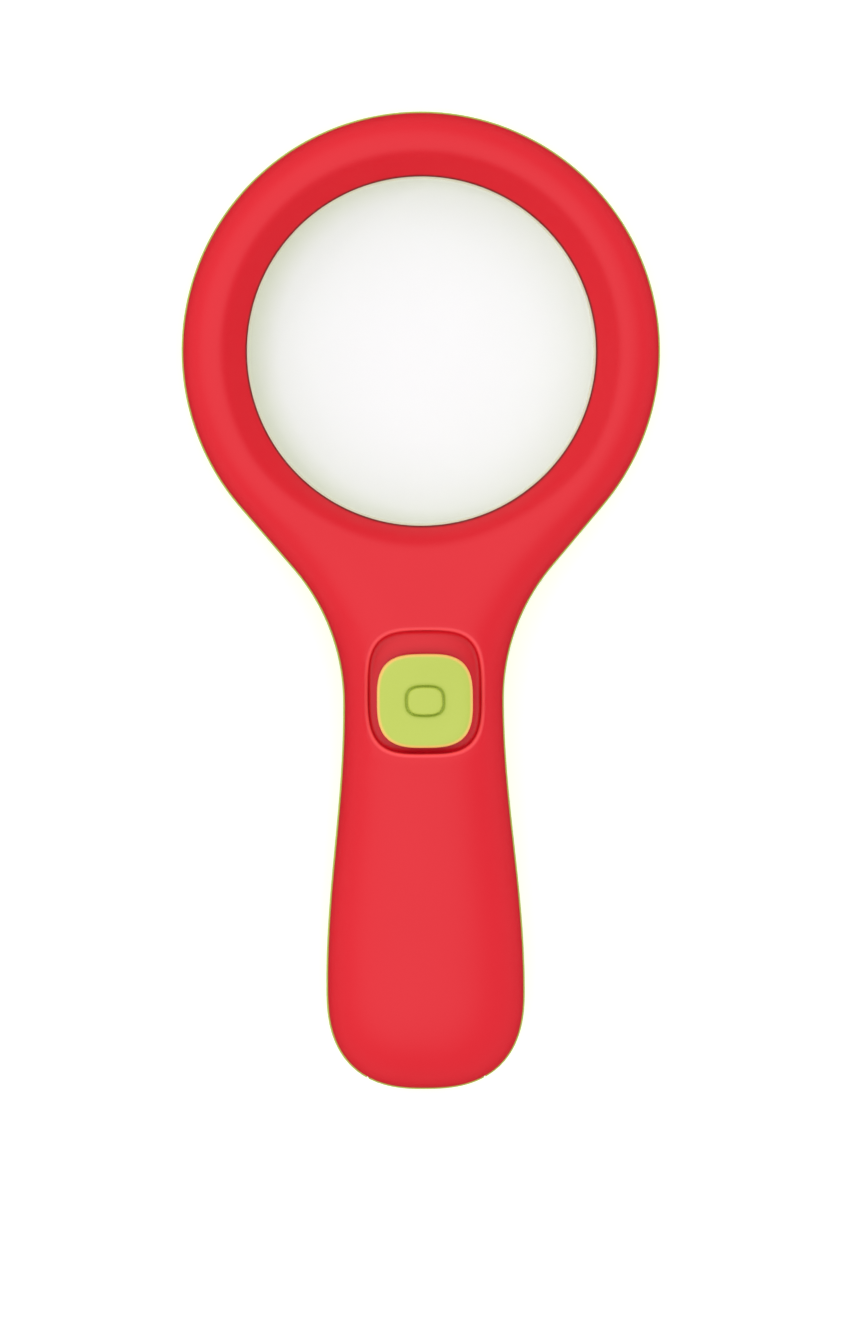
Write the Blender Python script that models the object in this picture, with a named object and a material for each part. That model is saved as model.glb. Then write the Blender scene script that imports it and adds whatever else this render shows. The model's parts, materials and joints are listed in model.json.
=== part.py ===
"""Hand-held lit magnifier for low vision, lying on its back: +Y is the lens end, +Z faces the user.

The origin lies under the middle of the overall box. Lengths are in metres. Distances down the
handle ("drop") are counted from the lens axis towards the battery end.
"""

import math

import bmesh
import bpy
from mathutils import Matrix, Vector

# Lens and its ring
LENS_R = 0.0350
LENS_EDGE = 0.0020
LENS_CENTRE = 0.0095
LENS_LAP = 0.0018  # how far the ring covers the lens edge
RIM_BEVEL = 0.0048  # width of the sloping inner face of the ring
RIM_DROP = 0.0046
BACK_RIM_DROP = 0.0030
RING_BAND = 0.0075  # width of the rounded outer face of the ring
RING_RISE = 0.0090  # ring crest above the seam
SEAM_Z = 0.0090  # height of the joint between the two shells
SEAL_PEEK = 0.0005  # how far the seal shows inside the opening
SEAL_WIDTH = 0.0022
SEAL_HEIGHT = 0.0009
SEAT_WALL = 0.0015
SEAT_LAP = 0.0008  # how far the seat reaches under the lens edge

# Shells
WALL = 0.0020
GAP = 0.0003  # fit between neighbouring pieces
BACK_BAND = 0.0050  # width of the rounded edge round the flat back
CROWN_POWER = 2.4  # fullness of the rounded section
SHOULDER_ANGLE = math.radians(-40.44)  # where the straight shoulder leaves the ring
NECK_ARC_R = 0.0390
TAIL_DEPTH = 0.0193
TAIL_POWER = 2.54
TAIL_CORNER = 0.75  # share of the half width where the tail turns into the sides
TAIL_ROOM = 0.01015  # from the battery tray to the end of the handle
NECK_MARGIN = 0.0031  # from the battery tray's side to the narrowest outline
GRIP_MARGIN = 0.0067  # and to the widest outline
HEAD_ROOM = 0.0065  # between the tray's roof and the front shell
RISE_ROOM = 0.0044  # from where the handle reaches its full height to the pocket's middle
CREASE_FADE = (0.5, 0.95)  # cosines off the handle's direction between which the ring's crease fades

# Batteries, two AAA cells side by side, and what holds them
CELL_R = 0.00525
CELL_LENGTH = 0.0445
CELL_NUB_R = 0.0019
CELL_NUB = 0.0010
CELL_CHAMFER = 0.0004
CELL_CLEAR = 0.0004
CELL_LIFT = 0.0005  # between the door's inner face and the cells
TRAY_WALL = 0.0012
PLATE = 0.0004
SPRING_LENGTH = 0.0036
SPRING_WIRE = 0.0003  # radius
SPRING_TURNS = 3.5
SPRING_WIDE = 0.62  # first and last radius, as shares of the cell's
SPRING_NARROW = 0.40
LEAD_R = 0.0006
LEAD_LANDING = 0.0022  # from the board's end to where a lead is soldered
TAB_HALF = 0.0015
TAB_REACH = 0.0014  # a contact's tab above the tray's roof

# Battery door, which slides off over the end of the handle
DOOR_REACH = 0.0003  # beyond the cells on each side
TONGUE = 0.0010
TONGUE_THICK = 0.0009
RAIL = 0.0010
RAIL_ROOT = 0.0008  # how deep the rails and bosses are rooted in the back's wall

# Switch: a pad that slides in a sunk pocket and carries the switch lever with it
POCKET_SIDE = 0.0016  # pocket beside the pad
POCKET_END = 0.00115  # pocket left beyond the pad at the end of its travel
POCKET_DEPTH = 0.0024
POCKET_FLOOR = 0.0016
POCKET_POWER = 3.5
POCKET_CROWN_R = 0.0225  # the floor curves across the handle as its section does
BUTTON_HALF_X = 0.0091
BUTTON_HALF_Y = 0.0089
BUTTON_TRAVEL = 0.0032
BUTTON_RISE = 0.0026
BUTTON_POWER = 3.1
BUTTON_EDGE = 0.0009
BUTTON_DISH = 0.0003
NUB_HALF_X = 0.0033
NUB_HALF_Y = 0.0026
NUB_RISE = 0.0005
STEM_HALF_X = 0.0024
STEM_HALF_Y = 0.0026
LEVER_HALF = 0.0011
LEVER_SINK = 0.0018
LEVER_RISE = 0.0022
SWITCH_HALF_X = 0.0036
SWITCH_HALF_Y = 0.0062
SWITCH_HEIGHT = 0.0048

# Board and lamps
BOARD_HALF = 0.0095
BOARD_THICK = 0.0012
LED_R = 0.0015
LED_LENGTH = 0.0053
LED_PITCH = 0.0050
LED_INSET = 0.0040
LED_TO_POCKET = 0.0218
LED_FLANGE = 1.15  # flange radius over the body's
RESISTOR_R = 0.0012
RESISTOR_HALF = 0.0032
RESISTOR_WIRE = 0.0003
RESISTOR_SPAN = 0.0045
WINDOW_HALF_X = 0.0077
WINDOW_HALF_Y = 0.0032
WINDOW_FLANGE = 0.0011
WINDOW_POWER = 4.0
WINDOW_FLANGE_THICK = 0.0010

# Screws
SCREW_R = 0.0011
SCREW_HEAD_R = 0.0021
SCREW_HEAD = 0.0016
SCREW_LENGTH = 0.0100
SCREW_SINK = 0.0026
BOSS_WALL = 0.0007
RING_SCREW_ANGLES = (-10, 60, 120, 190)
SHOULDER_SCREW_ROOM = 0.0019  # between the board and the shoulder screws' bosses
SHOULDER_SCREW_AFTER = 0.0044  # beyond the lamps
BOARD_SCREW_X = 0.0070
BOARD_SCREW_AFTER = 0.0059  # beyond the lamps
BOARD_SCREW_R = 0.0008
BOARD_SCREW_HEAD = 0.0010
BOARD_SCREW_LENGTH = 0.0048

# Divisions of the meshes
RING_STEPS = 40
BAND_STEPS = 4
SIDE_STEPS = 16
HANDLE_STEPS = 22
TAIL_CROWDING = 0.85  # how much the rows crowd towards the tail
RIB_PLACES = (0.2, 0.8)  # shares of the tray's length

# Worked out from the sizes above
OPENING_R = LENS_R - LENS_LAP
CREST_R = OPENING_R + RIM_BEVEL
HEAD_R = CREST_R + RING_BAND
SEAL_R = OPENING_R - SEAL_PEEK
SEAT_R = LENS_R + GAP + SEAT_WALL
CELL_X = CELL_R + CELL_CLEAR / 2
DOOR_HALF = CELL_X + CELL_R + DOOR_REACH
TRAY_HALF = DOOR_HALF + TRAY_WALL
NECK_HALF = TRAY_HALF + NECK_MARGIN
GRIP_HALF = TRAY_HALF + GRIP_MARGIN
CELL_Z = WALL + CELL_LIFT + CELL_R
RAIL_TOP = WALL + GAP + RAIL
RAIL_FOOT = WALL - RAIL_ROOT
TRAY_BOTTOM = RAIL_TOP + GAP
TRAY_CEILING = CELL_Z + CELL_R + GAP
TRAY_TOP = TRAY_CEILING + TRAY_WALL
HANDLE_TOP = TRAY_TOP + HEAD_ROOM + WALL
HANDLE_RISE = HANDLE_TOP - SEAM_Z
BOARD_START = SEAT_R + 6 * GAP
LED_DROP = BOARD_START + LED_INSET
POCKET_DROP = LED_DROP + LED_TO_POCKET
POCKET_HALF_X = BUTTON_HALF_X + POCKET_SIDE
POCKET_HALF_Y = BUTTON_HALF_Y + BUTTON_TRAVEL / 2 + POCKET_END
RISE_END = POCKET_DROP - RISE_ROOM
BOARD_END = POCKET_DROP + POCKET_HALF_Y
WINDOW_THICK = WALL + WINDOW_FLANGE_THICK
LED_TIP = WINDOW_THICK + 2 * GAP
BOARD_Z = LED_TIP + LED_LENGTH + GAP
BOARD_TOP = BOARD_Z + BOARD_THICK
TRAY_START = BOARD_END + 5 * GAP
TRAY_INSIDE = CELL_LENGTH + SPRING_LENGTH + 2 * PLATE + 5 * GAP
TRAY_END = TRAY_START + TRAY_INSIDE + 2 * TRAY_WALL
TAIL_DROP = TRAY_END + TAIL_ROOM
TAIL_START = TAIL_DROP - TAIL_DEPTH
LENGTH = HEAD_R + TAIL_DROP
HEAD_Y = LENGTH / 2 - HEAD_R
BUTTON_DROP = POCKET_DROP + BUTTON_TRAVEL / 2
POCKET_Z = HANDLE_TOP - POCKET_DEPTH
BUTTON_Z = POCKET_Z + GAP
SWITCH_Z = BOARD_TOP + GAP
SWITCH_TOP = SWITCH_Z + SWITCH_HEIGHT
STEM_LOW = SWITCH_TOP + 2 * GAP
DOOR_START = TRAY_START - 2 * GAP
BOSS_R = SCREW_HEAD_R + GAP + BOSS_WALL
SHOULDER_SCREW_X = BOARD_HALF + BOSS_R + SHOULDER_SCREW_ROOM
SHOULDER_SCREW_DROP = LED_DROP + SHOULDER_SCREW_AFTER
BOARD_SCREW_DROP = LED_DROP + BOARD_SCREW_AFTER
SCREW_SEAT = SCREW_SINK + SCREW_HEAD + GAP
SCREW_TOP = SCREW_SINK + SCREW_HEAD + SCREW_LENGTH


def down(drop):
    """World Y of a place this far from the lens axis towards the handle's end."""
    return HEAD_Y - drop


def smooth(low, high, value):
    """0 below low, 1 above high, and an even ease between them."""
    share = min(max((value - low) / (high - low), 0.0), 1.0)
    return share * share * (3 - 2 * share)


def mix(first, second, share):
    return first + (second - first) * share


# Outline of the body: ring, straight shoulder, neck arc, flare and rounded tail

TOUCH = Vector((math.cos(SHOULDER_ANGLE), math.sin(SHOULDER_ANGLE))) * HEAD_R
NECK_X = NECK_HALF + NECK_ARC_R
NECK_DROP = -(HEAD_R + NECK_ARC_R - NECK_X * math.cos(SHOULDER_ANGLE)) / math.sin(SHOULDER_ANGLE)
LEAVE = Vector((NECK_X, -NECK_DROP)) - TOUCH.normalized() * NECK_ARC_R
RING_ENDS = -TOUCH.y * 0.7  # the round edge of the ring alone counts above this drop


def half_width(drop):
    """Half width of the body at a drop below the lens axis."""
    if drop <= -TOUCH.y:
        return math.sqrt(max(HEAD_R**2 - drop**2, 0.0))
    if drop <= -LEAVE.y:
        return mix(TOUCH.x, LEAVE.x, (drop + TOUCH.y) / (TOUCH.y - LEAVE.y))
    if drop <= NECK_DROP:
        return NECK_X - math.sqrt(NECK_ARC_R**2 - (NECK_DROP - drop) ** 2)
    if drop <= TAIL_START:
        turn = math.pi * (drop - NECK_DROP) / (TAIL_START - NECK_DROP)
        return mix(NECK_HALF, GRIP_HALF, (1 - math.cos(turn)) / 2)
    share = min((drop - TAIL_START) / TAIL_DEPTH, 1.0)
    return GRIP_HALF * (1 - share**TAIL_POWER) ** (1 / TAIL_POWER)


def edge_inset(x, drop):
    """Distance in from the outline, exactly 0 on it."""
    if drop > TAIL_START:
        along = (drop - TAIL_START) / TAIL_DEPTH
        reach = ((abs(x) / GRIP_HALF) ** TAIL_POWER + along**TAIL_POWER) ** (1 / TAIL_POWER)
        return max(GRIP_HALF * (1 - reach), 0.0)
    ring = HEAD_R - math.hypot(x, drop)
    if drop < RING_ENDS:
        return max(ring, 0.0)
    step = 0.0005
    slope = (half_width(drop + step) - half_width(drop - step)) / (2 * step)
    side = (half_width(drop) - abs(x)) * math.cos(math.atan(slope))
    return max(mix(ring, side, smooth(RING_ENDS, -TOUCH.y, drop)), 0.0)


def rounded(inset, band):
    """Share of the full height at an inset from the outline."""
    away = 1 - min(inset / band, 1.0)
    return (1 - away**CROWN_POWER) ** (1 / CROWN_POWER)


def rim_fall(x, drop, softness):
    """Share of the fall of the ring's inner face; softness takes the crease away near the handle."""
    across = (CREST_R - math.hypot(x, drop)) / RIM_BEVEL
    if across <= 0:
        return 0.0
    return min(across, 1.0) ** (1 + softness * smooth(*CREASE_FADE, drop / math.hypot(x, drop)))


def front_height(x, drop):
    """Height of the front surface above the seam."""
    band = mix(RING_BAND, half_width(min(drop, TAIL_START)), smooth(-TOUCH.y, NECK_DROP, drop))
    rise = mix(RING_RISE, HANDLE_RISE, smooth(OPENING_R, RISE_END, drop))
    return rise * rounded(edge_inset(x, drop), band) - RIM_DROP * rim_fall(x, drop, 1)


def back_height(x, drop):
    """Depth of the back surface below the seam."""
    return SEAM_Z * rounded(edge_inset(x, drop), BACK_BAND) - BACK_RIM_DROP * rim_fall(x, drop, 0)


# The surface is laid out flat as three patches that share their edges


def throat(side):
    """Plan point on the arc between ring and handle, from -1 at the left shoulder to 1."""
    angle = -math.pi / 2 + side * (SHOULDER_ANGLE + math.pi / 2)
    radius = mix(CREST_R + 0.4 * RING_BAND, HEAD_R, side**4)
    return Vector((math.cos(angle), math.sin(angle))) * radius


def tail(side):
    """Plan point on the end of the handle, between its two corners."""
    x = side * TAIL_CORNER * GRIP_HALF
    along = (1 - abs(side * TAIL_CORNER) ** TAIL_POWER) ** (1 / TAIL_POWER)
    return Vector((x, -TAIL_START - along * TAIL_DEPTH))


def flank(share):
    """Plan point on the right side of the handle, from the shoulder to the tail's corner."""
    drop = mix(-TOUCH.y, -tail(1).y, share)
    return Vector((half_width(drop), -drop))


def handle_point(side, share):
    """Plan point between throat, flanks and tail."""
    right = flank(share)
    left = Vector((-right.x, right.y))
    ends = mix(throat(side), tail(side), share)
    sides = mix(left, right, (side + 1) / 2)
    corners = [Vector((sign * mix(TOUCH.x, tail(1).x, share), mix(TOUCH.y, tail(1).y, share)))
               for sign in (-1, 1)]
    return ends + sides - mix(corners[0], corners[1], (side + 1) / 2)


def ring_radius(share, outer):
    """Radius from the opening over the crest, which stays one row, to the outer radius."""
    first = 1 / (BAND_STEPS + 1)
    if share <= first:
        return mix(OPENING_R, CREST_R, share / first)
    return mix(CREST_R, outer, math.sin(math.pi / 2 * (share - first) / (1 - first)))


def grid(bm, columns, rows, place):
    """A grid of faces, each corner put where place(u, v) says, with u and v from 0 to 1."""
    made = bmesh.ops.create_grid(bm, x_segments=columns, y_segments=rows, size=1)
    for vert in made["verts"]:
        point = place((vert.co.x + 1) / 2, (vert.co.y + 1) / 2)
        vert.co = (point.x, point.y, 0)


def ring_patch(u, v):
    angle = mix(SHOULDER_ANGLE, math.pi - SHOULDER_ANGLE, u)
    return Vector((math.cos(angle), math.sin(angle))) * ring_radius(v, HEAD_R)


def sector_patch(u, v):
    point = throat(math.sin(math.pi * (u - 0.5)))
    return point.normalized() * ring_radius(v, point.length)


def handle_patch(u, v):
    share = mix(v, math.sin(math.pi / 2 * v), TAIL_CROWDING)
    return handle_point(math.sin(math.pi * (u - 0.5)), share)


def skin(height):
    """The outer surface over the whole plan, its outline on the seam."""
    bm = bmesh.new()
    grid(bm, RING_STEPS, BAND_STEPS + 1, ring_patch)
    grid(bm, SIDE_STEPS, BAND_STEPS + 1, sector_patch)
    grid(bm, SIDE_STEPS, HANDLE_STEPS, handle_patch)
    bmesh.ops.remove_doubles(bm, verts=bm.verts[:], dist=1e-6)
    for vert in bm.verts:
        vert.co.z = height(vert.co.x, -vert.co.y)
    bmesh.ops.recalc_face_normals(bm, faces=bm.faces[:])
    if sum(face.normal.z for face in bm.faces) < 0:
        bmesh.ops.reverse_faces(bm, faces=bm.faces[:])
    return bm


def outline_edges(bm):
    """Open edges of the outline, without those of the lens opening."""
    middle = (OPENING_R + CREST_R) / 2
    return [edge for edge in bm.edges if edge.is_boundary
            and all(vert.co.to_2d().length > middle for vert in edge.verts)]


def shell_mesh(height):
    """The skin given its wall inwards, with a flat rim half a gap above the seam."""
    bm = skin(height)
    skirt = bmesh.ops.extrude_edge_only(bm, edges=outline_edges(bm))
    verts = [item for item in skirt["geom"] if isinstance(item, bmesh.types.BMVert)]
    bmesh.ops.translate(bm, verts=verts, vec=(0, 0, -WALL))
    bmesh.ops.recalc_face_normals(bm, faces=bm.faces[:])
    if sum(face.normal.z for face in bm.faces) < 0:
        bmesh.ops.reverse_faces(bm, faces=bm.faces[:])
    bmesh.ops.solidify(bm, geom=bm.faces[:], thickness=WALL)
    cut = bmesh.ops.bisect_plane(
        bm, geom=bm.verts[:] + bm.edges[:] + bm.faces[:], dist=1e-7,
        plane_co=(0, 0, GAP / 2), plane_no=(0, 0, 1), clear_inner=True)
    edges = [item for item in cut["geom_cut"] if isinstance(item, bmesh.types.BMEdge)]
    bmesh.ops.bridge_loops(bm, edges=edges)
    bmesh.ops.recalc_face_normals(bm, faces=bm.faces[:])
    return bm


def core_mesh(height, inside):
    """A solid under the skin, this far inside it, that trims what stands in the shell."""
    bm = skin(height)
    bmesh.ops.translate(bm, verts=bm.verts[:], vec=(0, 0, -inside))
    made = bmesh.ops.extrude_face_region(bm, geom=bm.faces[:])
    for item in made["geom"]:
        if isinstance(item, bmesh.types.BMVert):
            item.co.z = -2 * inside
    bmesh.ops.recalc_face_normals(bm, faces=bm.faces[:])
    return bm


def stand_on_seam(bm, side):
    """Moves a mesh made about the lens axis into the world; side -1 turns it to the back."""
    if side < 0:
        bmesh.ops.scale(bm, vec=(1, 1, -1), verts=bm.verts[:])
        bmesh.ops.reverse_faces(bm, faces=bm.faces[:])
    bmesh.ops.translate(bm, verts=bm.verts[:], vec=(0, HEAD_Y, SEAM_Z))
    return bm


# General shapes


def stack(bm, loops):
    """A closed body that runs through loops of equally many points, capped at both ends."""
    face = bm.faces.new([bm.verts.new(point) for point in loops[0]])
    for loop in loops[1:]:
        made = bmesh.ops.extrude_face_region(bm, geom=[face])
        old, face = face, next(g for g in made["geom"] if isinstance(g, bmesh.types.BMFace))
        for vert, point in zip([corner.vert for corner in face.loops], loop):
            vert.co = point
        if old.is_valid and loop is not loops[1]:
            bm.faces.remove(old)
    bmesh.ops.recalc_face_normals(bm, faces=bm.faces[:])
    return bm


def superellipse(half_x, half_y, power, count):
    """Points of a rounded rectangle's outline, counterclockwise."""
    points = []
    for index in range(count):
        angle = 2 * math.pi * (index + 0.5) / count
        cos, sin = math.cos(angle), math.sin(angle)
        points.append((half_x * math.copysign(abs(cos) ** (2 / power), cos),
                       half_y * math.copysign(abs(sin) ** (2 / power), sin)))
    return points


def prism(bm, points, centre, low, high):
    """An upright prism on plan points about a centre (x, y)."""
    loops = [[(centre[0] + x, centre[1] + y, z) for x, y in points] for z in (low, high)]
    return stack(bm, loops)


def block(bm, low, high):
    """An upright box between two corners."""
    corners = [(low[0], low[1]), (high[0], low[1]), (high[0], high[1]), (low[0], high[1])]
    return prism(bm, corners, (0, 0), low[2], high[2])


def turned(bm, profile, centre, steps, closed=False):
    """A profile of (radius, z) turned round an upright axis at centre (x, y)."""
    fresh = [bm.verts.new((centre[0] + radius, centre[1], z)) for radius, z in profile]
    pairs = list(zip(fresh, fresh[1:])) + ([(fresh[-1], fresh[0])] if closed else [])
    edges = [bm.edges.new(pair) for pair in pairs]
    before = set(bm.verts) - set(fresh)
    bmesh.ops.spin(bm, geom=fresh + edges, cent=(*centre, 0), axis=(0, 0, 1), dvec=(0, 0, 0),
                   angle=2 * math.pi, steps=steps, use_merge=True)
    mine = [vert for vert in bm.verts if vert not in before]
    bmesh.ops.remove_doubles(bm, verts=mine, dist=1e-7)
    bmesh.ops.recalc_face_normals(bm, faces=bm.faces[:])
    return bm


def crown_sag(x):
    """How far the pocket's floor, or what follows it, falls at x from the handle's middle."""
    return POCKET_CROWN_R - math.sqrt(POCKET_CROWN_R**2 - x**2)


def crowned_base(points, centre, low):
    """Loops of a base that follows the crown, from near its middle out to the plan points."""
    return [[(centre[0] + scale * x, centre[1] + scale * y, low - crown_sag(scale * x))
             for x, y in points] for scale in (0.25, 0.5, 0.75, 1.0)]


def crowned_prism(bm, points, centre, low, high):
    """An upright prism whose base follows the crown."""
    top = [(centre[0] + x, centre[1] + y, high) for x, y in points]
    return stack(bm, crowned_base(points, centre, low) + [top])


def pin(bm, centre, radius, low, high, steps=20):
    """An upright round pin."""
    return turned(bm, [(0, low), (radius, low), (radius, high), (0, high)], centre, steps)


# Objects, materials and Booleans


def material(name, colour, roughness, metallic=0.0, transmission=0.0):
    made = bpy.data.materials.new(name)
    made.use_nodes = True
    shader = made.node_tree.nodes["Principled BSDF"]
    shader.inputs["Base Color"].default_value = (*colour, 1)
    shader.inputs["Roughness"].default_value = roughness
    shader.inputs["Metallic"].default_value = metallic
    shader.inputs["Transmission Weight"].default_value = transmission
    made.diffuse_color = (*colour, 1)
    return made


def add_object(name, bm, finish=None, place=(0, 0, 0)):
    """An object whose origin is at place; its mesh is given in world coordinates."""
    bmesh.ops.translate(bm, verts=bm.verts[:], vec=-Vector(place))
    mesh = bpy.data.meshes.new(name)
    bm.to_mesh(mesh)
    bm.free()
    mesh.shade_smooth()
    mesh.set_sharp_from_angle(angle=math.radians(35))
    obj = bpy.data.objects.new(name, mesh)
    obj.location = place
    bpy.context.scene.collection.objects.link(obj)
    if finish:
        mesh.materials.append(finish)
    else:
        obj.hide_render = True
        obj.display_type = "WIRE"
    return obj


def boolean(obj, operation, other):
    modifier = obj.modifiers.new(operation.lower(), "BOOLEAN")
    modifier.operation = operation
    modifier.solver = "EXACT"
    modifier.object = other


def tube(name, points, radius, finish, sides=1):
    """A round wire along points, with closed ends."""
    curve = bpy.data.curves.new(name, "CURVE")
    curve.dimensions = "3D"
    curve.bevel_depth = radius
    curve.bevel_resolution = sides
    curve.use_fill_caps = True
    spline = curve.splines.new("POLY")
    spline.points.add(len(points) - 1)
    for point, place in zip(spline.points, points):
        point.co = (*place, 1)
    curve.materials.append(finish)
    obj = bpy.data.objects.new(name, curve)
    bpy.context.scene.collection.objects.link(obj)
    return obj


# Where the screws stand


def case_screw_places():
    ring = CREST_R + SCREW_HEAD_R
    places = []
    for angle in map(math.radians, RING_SCREW_ANGLES):
        places.append((ring * math.cos(angle), HEAD_Y + ring * math.sin(angle)))
    for side in (-1, 1):
        places.append((side * SHOULDER_SCREW_X, down(SHOULDER_SCREW_DROP)))
    return places


def board_screw_places():
    return [(side * BOARD_SCREW_X, down(BOARD_SCREW_DROP)) for side in (-1, 1)]


# The shells


def front_features():
    """Pocket tub, screw bosses, board posts and the ribs over the battery tray."""
    bm = bmesh.new()
    tub = superellipse(POCKET_HALF_X + WALL, POCKET_HALF_Y + WALL, POCKET_POWER, 32)
    ceiling = HANDLE_TOP + WALL
    crowned_prism(bm, tub, (0, down(POCKET_DROP)), POCKET_Z - POCKET_FLOOR, ceiling)
    for place in case_screw_places():
        pin(bm, place, BOSS_R - GAP, SEAM_Z + GAP, ceiling)
    for place in board_screw_places():
        pin(bm, place, BOARD_SCREW_R + GAP + BOSS_WALL, BOARD_TOP + GAP, ceiling)
    for share in RIB_PLACES:
        middle = down(mix(TRAY_START, TRAY_END, share))
        block(bm, (-TRAY_HALF / 2, middle - WALL / 2, TRAY_TOP + GAP),
              (TRAY_HALF / 2, middle + WALL / 2, ceiling))
    features = add_object("front_features", bm)
    core = add_object("front_core", stand_on_seam(core_mesh(front_height, WALL / 2), 1))
    boolean(features, "INTERSECT", core)
    return features


def front_cuts():
    """The switch pocket, the stem's slot and the screw holes, each cut on its own."""
    bm = bmesh.new()
    pocket = superellipse(POCKET_HALF_X, POCKET_HALF_Y, POCKET_POWER, 32)
    middle = (0, down(POCKET_DROP))
    crowned_prism(bm, pocket, middle, POCKET_Z, HANDLE_TOP + WALL)
    hollow = add_object("pocket_hollow", bm)
    bm = bmesh.new()
    for place in case_screw_places():
        pin(bm, place, SCREW_R + GAP, 0, SCREW_TOP + GAP, 12)
    for place in board_screw_places():
        pin(bm, place, BOARD_SCREW_R + GAP, 0, BOARD_Z + BOARD_SCREW_LENGTH + GAP, 12)
    holes = add_object("front_holes", bm)
    reach = STEM_HALF_Y + BUTTON_TRAVEL / 2 + GAP
    slot = add_object("stem_slot", block(
        bmesh.new(), (-STEM_HALF_X - GAP, middle[1] - reach, POCKET_Z - 2 * POCKET_FLOOR),
        (STEM_HALF_X + GAP, middle[1] + reach, POCKET_Z + POCKET_FLOOR)))
    return hollow, slot, holes


def make_front_shell(finish):
    shell = add_object("front_shell", stand_on_seam(shell_mesh(front_height), 1), finish)
    boolean(shell, "UNION", front_features())
    for cutter in front_cuts():
        boolean(shell, "DIFFERENCE", cutter)


def door_region(reach, top):
    """The part of the back that the door takes up, grown by reach."""
    return add_object("door_region", block(
        bmesh.new(), (-DOOR_HALF - reach, down(TAIL_DROP) - WALL, -WALL),
        (DOOR_HALF + reach, down(DOOR_START) + reach, top)))


def rail_profile(side):
    """Section of the rail that holds the door's tongue, on one side."""
    inner, outer = DOOR_HALF + GAP, DOOR_HALF + TONGUE + 2 * GAP
    section = [(outer, RAIL_FOOT), (outer + RAIL, RAIL_FOOT), (outer + RAIL, RAIL_TOP),
               (inner, RAIL_TOP), (inner, WALL + GAP), (outer, WALL + GAP)]
    return [(side * x, z) for x, z in section]


def back_features():
    """Lens seat, screw bosses, door rails and the rest under the board's end."""
    bm = bmesh.new()
    lap, shelf = LENS_R - SEAT_LAP, SEAM_Z - LENS_EDGE / 2 - GAP
    low = BACK_RIM_DROP * (CREST_R - lap) / RIM_BEVEL + WALL / 4
    turned(bm, [(lap, low), (SEAT_R, low), (SEAT_R, SEAM_Z - GAP), (LENS_R + GAP, SEAM_Z - GAP),
                (LENS_R + GAP, shelf), (lap, shelf)], (0, HEAD_Y), 48, closed=True)
    for place in case_screw_places():
        pin(bm, place, BOSS_R, WALL - GAP, SEAM_Z - GAP)
    end = down(TRAY_END - TRAY_WALL)
    for side in (-1, 1):
        section = rail_profile(side)
        stack(bm, [[(x, y, z) for x, z in section] for y in (down(DOOR_START) - GAP, end)])
    rest = down(BOARD_END - WALL)
    block(bm, (-BOARD_HALF * 0.6, rest, WALL / 2),
          (BOARD_HALF * 0.6, rest + TRAY_WALL, BOARD_Z - GAP))
    return add_object("back_features", bm)


def back_cuts():
    """The screw holes with their sunk heads, and the lamp window."""
    bm = bmesh.new()
    for place in case_screw_places():
        turned(bm, [(0, -WALL), (SCREW_HEAD_R + GAP, -WALL), (SCREW_HEAD_R + GAP, SCREW_SEAT),
                    (SCREW_R + GAP, SCREW_SEAT), (SCREW_R + GAP, SEAM_Z + WALL),
                    (0, SEAM_Z + WALL)], place, 16)
    hole = superellipse(WINDOW_HALF_X + GAP, WINDOW_HALF_Y + GAP, WINDOW_POWER, 24)
    prism(bm, hole, (0, down(LED_DROP)), -WALL, 2 * WALL)
    return add_object("back_cuts", bm)


def make_back_shell(finish):
    shell = add_object("back_shell", stand_on_seam(shell_mesh(back_height), -1), finish)
    reach = DOOR_HALF + TONGUE + 2 * GAP
    groove = block(bmesh.new(), (-reach, down(TAIL_DROP) - WALL, WALL - TONGUE_THICK - GAP),
                   (reach, down(DOOR_START) - GAP, WALL + GAP))
    boolean(shell, "DIFFERENCE", door_region(GAP, SEAM_Z + WALL))
    boolean(shell, "DIFFERENCE", add_object("door_groove", groove))
    boolean(shell, "UNION", back_features())
    boolean(shell, "DIFFERENCE", back_cuts())


def make_battery_door(finish):
    door = add_object("battery_door", stand_on_seam(shell_mesh(back_height), -1), finish)
    boolean(door, "INTERSECT", door_region(0, SEAM_Z + WALL))
    bm = block(bmesh.new(), (-DOOR_HALF - TONGUE, down(TRAY_END - TRAY_WALL), WALL - TONGUE_THICK),
               (DOOR_HALF + TONGUE, down(DOOR_START) - 2 * GAP, WALL))
    boolean(door, "UNION", add_object("door_tongues", bm))


# The lens and its seal


def make_lens(finish):
    """A biconvex lens with a straight edge."""
    steps = 6
    sag = (LENS_CENTRE - LENS_EDGE) / 2
    curve_r = (LENS_R**2 + sag**2) / (2 * sag)
    front = []
    for index in range(steps + 1):
        radius = LENS_R * index / steps
        fall = curve_r - math.sqrt(curve_r**2 - radius**2)
        front.append((radius, LENS_CENTRE / 2 - fall))
    back = [(radius, -z) for radius, z in reversed(front)]
    profile = [(radius, SEAM_Z + z) for radius, z in front + back]
    add_object("lens", turned(bmesh.new(), profile, (0, HEAD_Y), 48), finish)


def make_lens_seal(finish):
    """A soft ring pressed between the lens and the front shell's lip."""
    low = SEAM_Z + RING_RISE - RIM_DROP - WALL * math.sqrt(0.5) - SEAL_HEIGHT - GAP
    profile = [(SEAL_R, low), (SEAL_R + SEAL_WIDTH, low),
               (SEAL_R + SEAL_WIDTH, low + SEAL_HEIGHT), (SEAL_R, low + SEAL_HEIGHT)]
    add_object("lens_seal", turned(bmesh.new(), profile, (0, HEAD_Y), 48, closed=True), finish)


# The switch


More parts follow.
